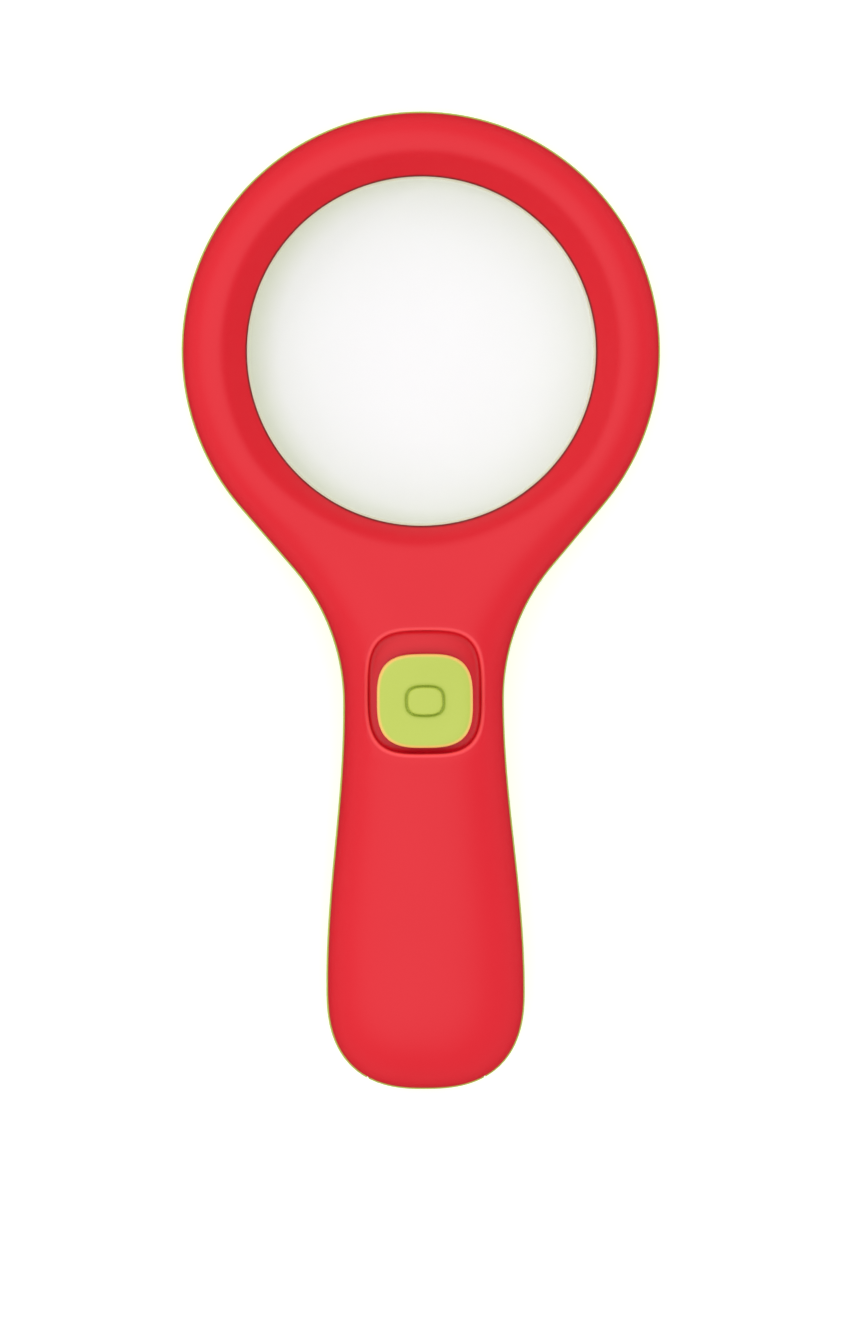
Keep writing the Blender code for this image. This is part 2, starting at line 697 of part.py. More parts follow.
def button_top(x, scale):
    """Height of the pad's surface, dished in the middle and with a rounded edge."""
    fall = BUTTON_EDGE * smooth(0.9, 1.0, scale) + BUTTON_DISH * (1 - smooth(0.0, 0.9, scale))
    return BUTTON_Z + BUTTON_RISE - crown_sag(x) - fall


def make_slide_button(finish):
    middle = down(BUTTON_DROP)
    outline = superellipse(BUTTON_HALF_X, BUTTON_HALF_Y, BUTTON_POWER, 32)
    loops = crowned_base(outline, (0, middle), BUTTON_Z)
    for scale in (1.0, 0.95, 0.9, 0.6, 0.3):
        loops.append([(scale * x, middle + scale * y, button_top(scale * x, scale))
                      for x, y in outline])
    place = (0, middle, BUTTON_Z)
    button = add_object("slide_button", stack(bmesh.new(), loops), finish, place)
    bm = bmesh.new()
    dish = BUTTON_Z + BUTTON_RISE - BUTTON_DISH
    nub = superellipse(NUB_HALF_X, NUB_HALF_Y, POCKET_POWER, 20)
    prism(bm, nub, (0, middle), dish - 2 * NUB_RISE, dish + NUB_RISE)
    block(bm, (-STEM_HALF_X, middle - STEM_HALF_Y, STEM_LOW),
          (STEM_HALF_X, middle + STEM_HALF_Y, BUTTON_Z + GAP))
    boolean(button, "UNION", add_object("button_additions", bm))
    socket = LEVER_HALF + GAP
    hole = block(bmesh.new(), (-socket, middle - socket, SWITCH_TOP),
                 (socket, middle + socket, SWITCH_TOP + LEVER_RISE + GAP))
    boolean(button, "DIFFERENCE", add_object("lever_socket", hole))


def make_switch_lever(finish):
    middle = down(BUTTON_DROP)
    low = SWITCH_TOP - LEVER_SINK
    bm = block(bmesh.new(), (-LEVER_HALF, middle - LEVER_HALF, low),
               (LEVER_HALF, middle + LEVER_HALF, SWITCH_TOP + LEVER_RISE))
    add_object("switch_lever", bm, finish, (0, middle, low))


def make_switch_body(finish):
    middle = down(POCKET_DROP)
    bm = block(bmesh.new(), (-SWITCH_HALF_X, middle - SWITCH_HALF_Y, SWITCH_Z),
               (SWITCH_HALF_X, middle + SWITCH_HALF_Y, SWITCH_TOP))
    body = add_object("switch_body", bm, finish)
    reach = LEVER_HALF + BUTTON_TRAVEL / 2 + GAP
    slot = block(bmesh.new(), (-LEVER_HALF - GAP, middle - reach, SWITCH_TOP - LEVER_SINK - GAP),
                 (LEVER_HALF + GAP, middle + reach, SWITCH_TOP + WALL))
    boolean(body, "DIFFERENCE", add_object("lever_slot", slot))


# The board, its lamps and the window under them


def make_circuit_board(finish):
    bm = block(bmesh.new(), (-BOARD_HALF, down(BOARD_END), BOARD_Z),
               (BOARD_HALF, down(BOARD_START), BOARD_TOP))
    board = add_object("circuit_board", bm, finish)
    bm = bmesh.new()
    for place in board_screw_places():
        pin(bm, place, BOARD_SCREW_R + GAP, BOARD_Z - WALL, BOARD_TOP + WALL, 12)
    boolean(board, "DIFFERENCE", add_object("board_holes", bm))


def make_leds(finish):
    base, dome = LED_TIP + LED_LENGTH, LED_TIP + LED_R
    for offset, side in zip((-1, 0, 1), ("left", "middle", "right")):
        round_end = [math.pi / 2 * index / 4 for index in range(5)]
        profile = [(LED_R * math.sin(turn), dome - LED_R * math.cos(turn)) for turn in round_end]
        flange = base - LED_R / 2
        profile += [(LED_R, flange), (LED_R * LED_FLANGE, flange), (LED_R * LED_FLANGE, base),
                    (0, base)]
        place = (offset * LED_PITCH, down(LED_DROP))
        add_object(f"led_{side}", turned(bmesh.new(), profile, place, 16), finish)


def make_led_window(finish):
    """A clear block in the back with a flange on its inner side."""
    middle = (0, down(LED_DROP))
    plug = superellipse(WINDOW_HALF_X, WINDOW_HALF_Y, WINDOW_POWER, 24)
    flange = superellipse(WINDOW_HALF_X + WINDOW_FLANGE, WINDOW_HALF_Y + WINDOW_FLANGE,
                          WINDOW_POWER, 24)
    levels = [(plug, GAP), (plug, WALL + GAP), (flange, WALL + GAP), (flange, WINDOW_THICK)]
    loops = [[(middle[0] + x, middle[1] + y, z) for x, y in points] for points, z in levels]
    add_object("led_window", stack(bmesh.new(), loops), finish)


def make_resistor(finish):
    """An axial resistor that lies across the board."""
    cap = RESISTOR_HALF * 0.6
    half = [(RESISTOR_R * 0.85, cap * 0.9), (RESISTOR_R, cap), (RESISTOR_R, RESISTOR_HALF * 0.95),
            (RESISTOR_WIRE, RESISTOR_HALF), (RESISTOR_WIRE, RESISTOR_SPAN), (0, RESISTOR_SPAN)]
    profile = [(radius, -along) for radius, along in reversed(half)] + half
    bm = turned(bmesh.new(), profile, (0, 0), 12)
    lie_down = Matrix.Rotation(math.pi / 2, 3, "Y")
    bmesh.ops.rotate(bm, verts=bm.verts[:], cent=(0, 0, 0), matrix=lie_down)
    place = (0, down(mix(LED_DROP, BOARD_SCREW_DROP, 0.5)), BOARD_TOP + GAP + RESISTOR_R)
    bmesh.ops.translate(bm, verts=bm.verts[:], vec=place)
    add_object("resistor", bm, finish)


# Screws


def make_screw(name, place, radius, head_r, head, length, seat, finish):
    """A pan-head screw that points up, its head under a seat."""
    profile = [(0, seat - head), (head_r * 0.7, seat - head), (head_r, seat - head * 0.45),
               (head_r, seat), (radius, seat), (radius, seat + length - radius),
               (radius * 0.35, seat + length), (0, seat + length)]
    add_object(name, turned(bmesh.new(), profile, place, 14), finish, (*place, seat))


def make_screws(finish):
    for index, place in enumerate(case_screw_places(), 1):
        make_screw(f"case_screw_{index}", place, SCREW_R, SCREW_HEAD_R, SCREW_HEAD, SCREW_LENGTH,
                   SCREW_SEAT - GAP, finish)
    for place, side in zip(board_screw_places(), ("left", "right")):
        make_screw(f"board_screw_{side}", place, BOARD_SCREW_R, BOARD_SCREW_R * 2,
                   BOARD_SCREW_HEAD, BOARD_SCREW_LENGTH, BOARD_Z - GAP, finish)


# Batteries, tray, contacts and leads


def make_battery(name, side, up, finish):
    """A cell along Y with its nub end towards +Y when up is 1."""
    inner = TRAY_START + TRAY_WALL + 2 * GAP + PLATE
    start = inner if up > 0 else inner + SPRING_LENGTH + GAP
    middle = down(start + CELL_LENGTH / 2)
    half = CELL_LENGTH / 2
    top = half - CELL_NUB
    profile = [(0, -half), (CELL_R - CELL_CHAMFER, -half), (CELL_R, CELL_CHAMFER - half),
               (CELL_R, top - CELL_CHAMFER), (CELL_R - CELL_CHAMFER, top), (CELL_NUB_R, top),
               (CELL_NUB_R, half), (0, half)]
    bm = turned(bmesh.new(), profile, (0, 0), 20)
    bmesh.ops.rotate(bm, verts=bm.verts[:], cent=(0, 0, 0),
                     matrix=Matrix.Rotation(-up * math.pi / 2, 3, "X"))
    bmesh.ops.translate(bm, verts=bm.verts[:], vec=(side * CELL_X, middle, CELL_Z))
    add_object(name, bm, finish, (side * CELL_X, middle, CELL_Z))


def make_tray(finish):
    """A box over the cells, open to the back, with notches for the contacts' tabs."""
    bm = block(bmesh.new(), (-TRAY_HALF, down(TRAY_END), TRAY_BOTTOM),
               (TRAY_HALF, down(TRAY_START), TRAY_TOP))
    tray = add_object("battery_tray", bm, finish)
    inside = block(bmesh.new(), (-DOOR_HALF, down(TRAY_END - TRAY_WALL), 0),
                   (DOOR_HALF, down(TRAY_START + TRAY_WALL), TRAY_CEILING))
    boolean(tray, "DIFFERENCE", add_object("tray_inside", inside))
    bm = bmesh.new()
    near = TRAY_START + TRAY_WALL
    for side in (-1, 1):
        block(bm, (side * CELL_X - TAB_HALF - GAP, down(near + PLATE + 2 * GAP), TRAY_CEILING - WALL),
              (side * CELL_X + TAB_HALF + GAP, down(near) + GAP / 2, TRAY_TOP + WALL))
    boolean(tray, "DIFFERENCE", add_object("tray_notches", bm))


def make_plate(name, low_x, high_x, tab_x, drop, finish):
    """A flat contact across the end of the tray, with an upright solder tab at tab_x."""
    low, high = CELL_Z - CELL_R * 0.8, CELL_Z + CELL_R - GAP
    if tab_x is None:
        section = [(low_x, low), (high_x, low), (high_x, high), (low_x, high)]
    else:
        top = TRAY_TOP + TAB_REACH
        section = [(low_x, low), (high_x, low), (high_x, high), (tab_x + TAB_HALF, high),
                   (tab_x + TAB_HALF, top), (tab_x - TAB_HALF, top), (tab_x - TAB_HALF, high),
                   (low_x, high)]
    loops = [[(x, down(drop + depth), z) for x, z in section] for depth in (0, PLATE)]
    add_object(name, stack(bmesh.new(), loops), finish)


def make_contacts(finish):
    near = TRAY_START + TRAY_WALL + GAP
    far = TRAY_END - TRAY_WALL - GAP - PLATE
    half = CELL_R - CELL_CLEAR
    make_plate("positive_plate", -CELL_X - half, -CELL_X + half, -CELL_X, near, finish)
    make_plate("negative_plate", CELL_X - half, CELL_X + half, CELL_X, near, finish)
    make_plate("bridge_plate", -CELL_X - half, CELL_X + half, None, far, finish)


def make_spring(name, side, drop, finish):
    """A coil between a contact plate and a cell's flat end, its axis along Y."""
    per_turn = 12
    count = int(SPRING_TURNS * per_turn)
    length = SPRING_LENGTH - 2 * SPRING_WIRE - GAP
    points = []
    for index in range(count + 1):
        turn = 2 * math.pi * index / per_turn
        radius = CELL_R * mix(SPRING_WIDE, SPRING_NARROW, index / count)
        along = drop + SPRING_WIRE + length * index / count
        points.append((side * CELL_X + radius * math.cos(turn), down(along),
                       CELL_Z + radius * math.sin(turn)))
    tube(name, points, SPRING_WIRE, finish)


def make_springs(finish):
    near = TRAY_START + TRAY_WALL + 2 * GAP + PLATE
    far = TRAY_END - TRAY_WALL - 2 * GAP - PLATE - SPRING_LENGTH + GAP
    make_spring("spring_front", 1, near, finish)
    make_spring("spring_end", -1, far, finish)


def make_lead(name, side, finish):
    """A wire from a contact's tab down to the board, in a smooth bend."""
    start = Vector((side * CELL_X, down(TRAY_START + TRAY_WALL), TRAY_TOP + 2 * GAP + LEAD_R))
    end = Vector((side * CELL_X, down(BOARD_END - LEAD_LANDING), BOARD_TOP + GAP + LEAD_R / 2))
    over = Vector((start.x, down(TRAY_START - LEAD_LANDING), start.z))
    points = []
    steps = 12
    for index in range(steps + 1):
        share = index / steps
        points.append(start * (1 - share) ** 2 + over * 2 * share * (1 - share) + end * share**2)
    tube(name, points, LEAD_R, finish, 2)


def main():
    for obj in list(bpy.data.objects):
        bpy.data.objects.remove(obj)
    red = material("red_shell", (0.79, 0.02, 0.03), 0.45)
    lime = material("lime_plastic", (0.58, 0.70, 0.10), 0.45)
    clear = material("clear_acrylic", (0.95, 0.97, 0.95), 0.03, transmission=1.0)
    cream = material("cream_rubber", (0.85, 0.80, 0.62), 0.7)
    black = material("black_plastic", (0.02, 0.02, 0.02), 0.5)
    nickel = material("nickel", (0.75, 0.72, 0.66), 0.3, 1.0)
    steel = material("zinc_steel", (0.62, 0.62, 0.64), 0.35, 1.0)
    make_front_shell(red)
    make_back_shell(lime)
    make_battery_door(lime)
    make_lens(clear)
    make_lens_seal(cream)
    make_slide_button(lime)
    make_switch_lever(black)
    make_switch_body(steel)
    make_circuit_board(material("green_board", (0.02, 0.19, 0.06), 0.4))
    make_leds(material("led_epoxy", (0.9, 0.92, 0.85), 0.1, transmission=0.6))
    make_led_window(clear)
    make_resistor(material("tan_resistor", (0.55, 0.42, 0.25), 0.5))
    make_screws(steel)
    make_battery("battery_left", -1, 1, material("battery_wrap", (0.05, 0.06, 0.09), 0.35))
    make_battery("battery_right", 1, -1, bpy.data.materials["battery_wrap"])
    make_tray(black)
    make_contacts(nickel)
    make_springs(nickel)
    make_lead("lead_positive", -1, material("red_wire", (0.6, 0.02, 0.02), 0.5))
    make_lead("lead_negative", 1, material("black_wire", (0.02, 0.02, 0.02), 0.5))


main()
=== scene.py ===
"""Looks of the lit low vision magnifier: fine shells, lens, thumb pad, finishes, light and camera.

Lengths are in metres. A drop is a distance from the lens axis towards the battery end, and an
inset is a distance in from the body's outline. The shells are shaped about the lens axis, with
the seam at height 0, and then moved to their place.
"""

import json
import math

import bmesh
import bpy
from mathutils import Matrix, Vector

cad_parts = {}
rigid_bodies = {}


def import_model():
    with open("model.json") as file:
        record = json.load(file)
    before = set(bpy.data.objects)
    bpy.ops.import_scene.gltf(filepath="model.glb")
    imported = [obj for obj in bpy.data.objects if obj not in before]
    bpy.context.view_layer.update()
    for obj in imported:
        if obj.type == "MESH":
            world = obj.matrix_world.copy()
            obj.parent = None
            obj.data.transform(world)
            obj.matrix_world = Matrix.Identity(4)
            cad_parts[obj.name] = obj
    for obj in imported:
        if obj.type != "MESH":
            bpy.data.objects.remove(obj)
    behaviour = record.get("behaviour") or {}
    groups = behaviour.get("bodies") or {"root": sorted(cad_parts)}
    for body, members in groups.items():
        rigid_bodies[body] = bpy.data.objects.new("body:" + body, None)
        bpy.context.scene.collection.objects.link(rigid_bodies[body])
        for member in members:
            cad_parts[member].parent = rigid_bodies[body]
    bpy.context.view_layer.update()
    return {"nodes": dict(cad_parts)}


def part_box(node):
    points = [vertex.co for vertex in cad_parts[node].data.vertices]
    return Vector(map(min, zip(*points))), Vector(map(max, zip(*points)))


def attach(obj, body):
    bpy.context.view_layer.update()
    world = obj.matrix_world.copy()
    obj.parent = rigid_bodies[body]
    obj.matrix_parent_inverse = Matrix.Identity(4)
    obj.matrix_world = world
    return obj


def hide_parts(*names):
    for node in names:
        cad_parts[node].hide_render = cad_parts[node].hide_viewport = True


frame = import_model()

CASE_BODY, SWITCH_BODY, DOOR_BODY = "body", "switch_slider", "battery_door"


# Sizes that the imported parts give

front_low, front_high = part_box("front_shell")
lens_low, lens_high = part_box("lens")
pad_low, pad_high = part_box("slide_button")
door_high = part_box("battery_door")[1]
tray_low, tray_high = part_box("battery_tray")
board_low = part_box("circuit_board")[0]

GAP = 0.0003  # fit between neighbouring pieces
PAST = 0.001  # how far a cutter runs past the face that it opens
WALL = 0.0020
RIM_STEP = 0.0003  # the front shell stands this far inside the back shell's outline
HEAD_R = (front_high.x - front_low.x) / 2
HEAD_Y = (lens_low.y + lens_high.y) / 2
LENS_R = (lens_high.x - lens_low.x) / 2
SEAM_Z = (lens_low.z + lens_high.z) / 2
HANDLE_TOP = front_high.z
TAIL_DROP = HEAD_Y - front_low.y

# Ring
LENS_EDGE = 0.0020
LENS_CHAMFER = 0.0003
LENS_COVER = 0.0018  # how far the rim reaches in over the lens
SEAL_COVER = 0.0023
OPENING_R = LENS_R - LENS_COVER
RIM_BEVEL = 0.0048
RIM_DROP = 0.0046
BACK_RIM_DROP = 0.0030
RIM_DROP_LOSS = 0.3  # an inner surface's rim drops less, by this share of its inset
RING_RISE = 0.0090
CREST_R = OPENING_R + RIM_BEVEL
RING_BAND = HEAD_R - CREST_R
CREST_SOFT = 0.0011  # half width over which the crest is rounded
CREASE_FADE = (0.5, 0.95)  # towards the neck the crest eases out between these cosines
RING_SHARE = 0.7  # share of the way to the shoulders where the ring starts to turn into the neck
THROAT_RISE = 0.4  # where the ring's grid meets the handle's, across the ring's outer band

# Handle
CROWN_POWER = 2.4
SHOULDER_ANGLE = math.radians(-40.44)
NECK_ARC_R = 0.0390
NECK_HALF = tray_high.x + 0.0031
GRIP_HALF = tray_high.x + 0.0067
TAIL_DEPTH = 0.0193
TAIL_START = TAIL_DROP - TAIL_DEPTH
TAIL_POWER = 2.54
TAIL_CORNER = 0.75
BACK_BAND = 0.0050
SEAM_ROUND = 0.0003  # rounding of both shells' edges at the seam
LIP_ROUND = 0.0004

# Switch pocket and thumb pad
TRAVEL = 0.0032
POCKET_DROP = HEAD_Y - (pad_low.y + pad_high.y) / 2 - TRAVEL / 2
PAD_X = (pad_high.x - pad_low.x) / 2
PAD_Y = (pad_high.y - pad_low.y) / 2
POCKET_X = PAD_X + 0.0016
POCKET_Y = PAD_Y + TRAVEL / 2 + 0.00115
POCKET_DEPTH = 0.0024
POCKET_FLOOR = 0.0016
POCKET_POWER = 3.5
POCKET_CROWN_R = 0.0225
POCKET_LIP = 0.0008
POCKET_FILLET = 0.0010
POCKET_NEAR = 1.15  # corners within this many half sizes belong to the pocket
LIP_HIGHLIGHT = (0.0003, 0.0008)  # the lip's painted highlight line fades out between these widths
# no painted highlight on the pocket's lip below this height
LIP_HIGHLIGHT_LOW = SEAM_Z + 0.005
TUB_WALL = 0.0009
TUB_REACH = 0.8 * TUB_WALL
POCKET_Z = HANDLE_TOP - POCKET_DEPTH
POCKET_TOP = POCKET_DROP - POCKET_Y - POCKET_LIP
POCKET_END = POCKET_DROP + POCKET_Y + POCKET_LIP
SLOT_X = 0.0027
SLOT_Y = 0.0045
RISE_END = POCKET_DROP - 0.0044
PAD_THICKNESS = 0.0026
PAD_POWER = 3.1
PAD_ROUND = 0.0009
PAD_BEVEL = 0.0003
PAD_DISH = 0.00045
PAD_POINTS = 96
STEM_X, STEM_Y = 0.0024, 0.0026
NUB_X, NUB_Y = 0.0033, 0.0026
NUB_POWER = 3.0
NUB_SURROUND = 1.2  # size of the dish's flat middle, in nubs
# Groove and nub, as shares of the nub's size and depths below the pad's face
NUB_PROFILE = [(1.15, 0.00055), (1.10, 0.00085), (1.05, 0.00092), (1.02, 0.00085), (1.0, 0.0006),
               (0.985, 0.0002), (0.96, 0.0), (0.92, -0.00014), (0.85, -0.0002), (0.6, -0.00016),
               (0.3, -0.0001), (0.1, -0.0001)]

# Screws and their bosses
SCREW_RING_R = 0.0401
SCREW_ANGLES = (-10, 60, 120, 190)
SHOULDER_SCREW_X = 0.0145
SHOULDER_SCREW_DROP = 0.0470
SCREW_SEAT = 0.0045
SCREW_HEAD_HOLE = 0.0024
BOSS_HOLE_R = 0.0014
BOSS_R = 0.0031
BOSS_LOW = 0.0017
BOSS_HIGH = 0.0087
FRONT_BOSS_R = 0.0028
FRONT_BOSS_LOW = 0.0093
BOSS_HOLE_TOP = 0.0145
BOSS_COVER = 0.0005  # how far a front boss ends below the shell's outer face

# Inside of the back shell, and the battery door
SEAT_PROFILE = [(0.0342, 0.002875), (0.0368, 0.002875), (0.0368, 0.0087), (0.0353, 0.0087),
                (0.0353, 0.0077), (0.0342, 0.0077)]
WINDOW_DROP = 0.0426
WINDOW_X, WINDOW_Y = 0.0080, 0.0035
WINDOW_CUT = 0.004
DOOR_HALF = 0.0110
DOOR_Y = door_high.y
DOOR_TRIM = 0.00002  # a cut at DOOR_Y itself leaves open edges
TONGUE_ROOT = DOOR_HALF - 0.002
TONGUE_REACH = 0.0120
TONGUE_LOW, TONGUE_HIGH = 0.0011, 0.0020
GROOVE_HALF = 0.0126
GROOVE_LOW, GROOVE_HIGH = 0.0008, 0.0023
RIDGE_FIRST = 0.0845
RIDGE_PITCH = 0.0020
RIDGE_COUNT = 5
RIDGE_HALF = 0.006
RIDGE_WIDTH = 0.0009
RIDGE_DEPTH = 0.0005
TAIL_END = HEAD_Y - TAIL_DROP - 2 * PAST  # cutters along the handle end here
TRAY_WALL = 0.0012
RAIL_END = tray_low.y + TRAY_WALL
RAIL_SECTION = [(0.0126, 0.0012), (0.0136, 0.0012), (0.0136, 0.0033), (0.0113, 0.0033),
                (0.0113, 0.0023), (0.0126, 0.0023)]
BOARD_REST_X = 0.0057
BOARD_REST_IN = 0.0020
BOARD_REST_Y = board_low.y + BOARD_REST_IN
BOARD_REST_HALF = 0.0006
BOARD_REST_LOW = 0.001

# Divisions of the fine meshes
RING_STEPS = 176
BEVEL_STEPS = 8
BAND_STEPS = 14
HALF_COLUMNS = 28  # columns on each side of the handle's middle
POCKET_COLUMNS = 16  # of those, columns that run into the pocket
THROAT_ROWS = 26
POCKET_ROWS = 32
GRIP_ROWS = 62
SIDE_CROWDING = 1.9  # power by which the columns crowd towards the handle's sides
TAIL_CROWDING = 0.75  # share by which the rows crowd towards the tail
TAIL_EASE = 1.5
BEND_REACH = 0.95  # share of the way to the sides over which the grid bends round the pocket
SEAM_STEPS = 4
LIP_STEPS = 6
FILLET_STEPS = 5
OPENING_STEPS = 5
LENS_STEPS = 28
LENS_SIDES = 192
SEAL_SIDES = 160
SEAL_POWER, SEAL_POINTS = 3.0, 16
BOSS_SIDES = 48
FRONT_BOSS_SIDES = 40
WINDOW_POWER, WINDOW_POINTS = 4, 64
SAME_CORNER = 2e-6  # corners nearer than this are one
SLIVER = 1e-6  # edges shorter than this go after a cut


def down(drop):
    """World Y of a place this far from the lens axis towards the battery end."""
    return HEAD_Y - drop


def smooth(low, high, value):
    """Eased share from 0 at low to 1 at high."""
    share = min(max((value - low) / (high - low), 0.0), 1.0)
    return share * share * (3 - 2 * share)


def mix(first, second, share):
    return first + (second - first) * share


def reach(x, y, power):
    """How far out a place lies, where 1 is on a superellipse of half sizes 1."""
    return (abs(x) ** power + abs(y) ** power) ** (1 / power)


# Outline, in plan about the lens axis


class Outline:
    """The body's outline, moved inwards by some distance."""

    def __init__(self, inside=0.0):
        self.inside = inside
        self.head = HEAD_R - inside
        self.arc = NECK_ARC_R + inside
        self.grip = GRIP_HALF - inside
        self.depth = TAIL_DEPTH - inside
        self.neck = NECK_HALF - inside
        self.centre_x = NECK_HALF + NECK_ARC_R
        aim = Vector((math.cos(SHOULDER_ANGLE), math.sin(SHOULDER_ANGLE)))
        self.touch = aim * self.head
        self.neck_drop = (self.centre_x * aim.x - HEAD_R - NECK_ARC_R) / aim.y
        self.leave = Vector((self.centre_x, -self.neck_drop)) - aim * self.arc
        self.ring_ends = -self.touch.y * RING_SHARE

    def half_width(self, drop):
        if drop <= -self.touch.y:
            return math.sqrt(max(self.head**2 - drop**2, 0.0))
        if drop <= -self.leave.y:
            share = (drop + self.touch.y) / (self.touch.y - self.leave.y)
            return mix(self.touch.x, self.leave.x, share)
        if drop <= self.neck_drop:
            return self.centre_x - math.sqrt(self.arc**2 - (self.neck_drop - drop) ** 2)
        if drop <= TAIL_START:
            turn = math.pi * (drop - self.neck_drop) / (TAIL_START - self.neck_drop)
            return mix(self.neck, self.grip, (1 - math.cos(turn)) / 2)
        share = min((drop - TAIL_START) / self.depth, 1.0)
        return self.grip * (1 - share**TAIL_POWER) ** (1 / TAIL_POWER)

    def inset(self, x, drop):
        """Distance in from the outline."""
        if drop > TAIL_START:
            along = (drop - TAIL_START) / self.depth
            return max(self.grip * (1 - reach(x / self.grip, along, TAIL_POWER)), 0.0)
        ring = self.head - math.hypot(x, drop)
        if drop < self.ring_ends:
            return max(ring, 0.0)
        step = 0.0005
        slope = (self.half_width(drop + step) - self.half_width(drop - step)) / (2 * step)
        side = (self.half_width(drop) - abs(x)) * math.cos(math.atan(slope))
        return max(mix(ring, side, smooth(self.ring_ends, -self.touch.y, drop)), 0.0)

    def throat(self, side):
        """The arc between ring and handle, from -1 at the left shoulder to 1."""
        angle = -math.pi / 2 + side * (SHOULDER_ANGLE + math.pi / 2)
        radius = mix(CREST_R + THROAT_RISE * RING_BAND, self.head, side**4)
        return Vector((math.cos(angle), math.sin(angle))) * radius

    def tail(self, side):
        along = (1 - abs(side * TAIL_CORNER) ** TAIL_POWER) ** (1 / TAIL_POWER)
        return Vector((side * TAIL_CORNER * self.grip, -TAIL_START - along * self.depth))


def rounded(inset, band):
    """Share of the full height at an inset from the outline."""
    away = 1 - min(inset / band, 1.0)
    return (1 - away**CROWN_POWER) ** (1 / CROWN_POWER)


def rim_fall(x, drop, softness, crest_soft):
    """Share of the fall of the ring's inner face, its crest rounded over crest_soft."""
    away = CREST_R - math.hypot(x, drop)
    if away <= -crest_soft:
        return 0.0
    eased = away if away >= crest_soft else (away + crest_soft) ** 2 / (4 * crest_soft)
    across = min(eased / RIM_BEVEL, 1.0)
    return across ** (1 + softness * smooth(*CREASE_FADE, drop / math.hypot(x, drop)))


def front_height(outline, x, drop):
    """Height of the front surface above the seam."""
    inside = outline.inside
    half = outline.half_width(min(drop, TAIL_START))
    band = mix(RING_BAND - inside, half, smooth(-outline.touch.y, outline.neck_drop, drop))
    rise = mix(RING_RISE, HANDLE_TOP - SEAM_Z, smooth(OPENING_R, RISE_END, drop))
    if inside > RIM_STEP:
        rise -= inside
    fall = RIM_DROP - RIM_DROP_LOSS * inside
    return rise * rounded(outline.inset(x, drop), band) - fall * rim_fall(x, drop, 1, CREST_SOFT)


def back_height(outline, x, drop):
    """Depth of the back surface below the seam."""
    inside = outline.inside
    rise = (SEAM_Z - inside) * rounded(outline.inset(x, drop), BACK_BAND - inside / 2)
    return rise - BACK_RIM_DROP * rim_fall(x, drop, 0, CREST_SOFT / 2)


# The plan is laid out as three grids that share their edges


def handle_row(outline, row):
    """Share of the handle's length at a row, with rows on the pocket's ends."""
    start, end = -outline.touch.y, -outline.tail(1).y
    top, bottom = [(drop - start) / (end - start) for drop in (POCKET_TOP, POCKET_END)]
    if row <= THROAT_ROWS:
        return top * row / THROAT_ROWS, top, bottom
    row -= THROAT_ROWS
    if row <= POCKET_ROWS:
        return mix(top, bottom, row / POCKET_ROWS), top, bottom
    row -= POCKET_ROWS
    share = row / GRIP_ROWS
    crowded = mix(share, math.sin(math.pi / 2 * share), TAIL_CROWDING)
    return mix(bottom, 1.0, crowded), top, bottom


def handle_column(column, pocket_side):
    """Side from -1 to 1 at a column; the pocket's last column lies at pocket_side."""
    sign = 1 if column >= 0 else -1
    count = abs(column)
    if count <= POCKET_COLUMNS:
        return sign * pocket_side * count / POCKET_COLUMNS
    share = (count - POCKET_COLUMNS) / (HALF_COLUMNS - POCKET_COLUMNS)
    return sign * mix(pocket_side, 1.0, 1 - (1 - share) ** SIDE_CROWDING)


def pocket_side(outline, widen):
    """How far across the handle the pocket reaches, from 0 to 1."""
    return (POCKET_X + widen) / outline.half_width(POCKET_DROP)


def round_pocket(point, column_x, widen, spread):
    """Bends the plan round the pocket, so that a loop of the grid lies on its outline."""
    x, y = point.x / column_x, (point.y + POCKET_DROP) / (POCKET_Y + POCKET_LIP)
    square = max(abs(x), abs(y))
    if square < 1e-9 or square >= spread:
        return point
    out = square / reach(x, y, POCKET_POWER)
    bent = Vector((x * (POCKET_X + widen), y * (POCKET_Y + widen))) * out
    bent.y -= POCKET_DROP
    share = 1 if square <= 1 else 1 - smooth(1, spread, square)
    return mix(point, bent, share)


def handle_patch(outline, widen):
    """Place of a plan point of the handle's grid."""
    columns, rows = 2 * HALF_COLUMNS, THROAT_ROWS + POCKET_ROWS + GRIP_ROWS
    across = pocket_side(outline, widen)
    spread = mix(1.0, 1 / across, BEND_REACH)

    def place(u, v):
        share, top, bottom = handle_row(outline, round(v * rows))
        side = handle_column(round(u * columns) - HALF_COLUMNS, across)
        drop = mix(-outline.touch.y, -outline.tail(1).y, share)
        half = outline.touch.x if share == 0 else outline.half_width(drop)
        point = Vector((side * half, -drop))
        if share < top:
            off = outline.throat(side) - Vector((side * outline.touch.x, outline.touch.y))
            point += off * (1 - share / top)
        if share > bottom:
            corner = outline.tail(1)
            off = outline.tail(side) - Vector((side * corner.x, corner.y))
            point += off * ((share - bottom) / (1 - bottom)) ** TAIL_EASE
        return round_pocket(point, across * half, widen, spread)
    return columns, rows, place


def ring_radius(share, outer):
    """Radius from the opening over the crest to the outer radius."""
    first = BEVEL_STEPS / (BAND_STEPS + BEVEL_STEPS)
    if share <= first:
        return mix(OPENING_R, CREST_R, share / first)
    return mix(CREST_R, outer, math.sin(math.pi / 2 * (share - first) / (1 - first)))


def ring_patch(outline):
    def place(u, v):
        angle = mix(SHOULDER_ANGLE, math.pi - SHOULDER_ANGLE, u)
        return Vector((math.cos(angle), math.sin(angle))) * ring_radius(v, outline.head)
    return RING_STEPS, BAND_STEPS + BEVEL_STEPS, place


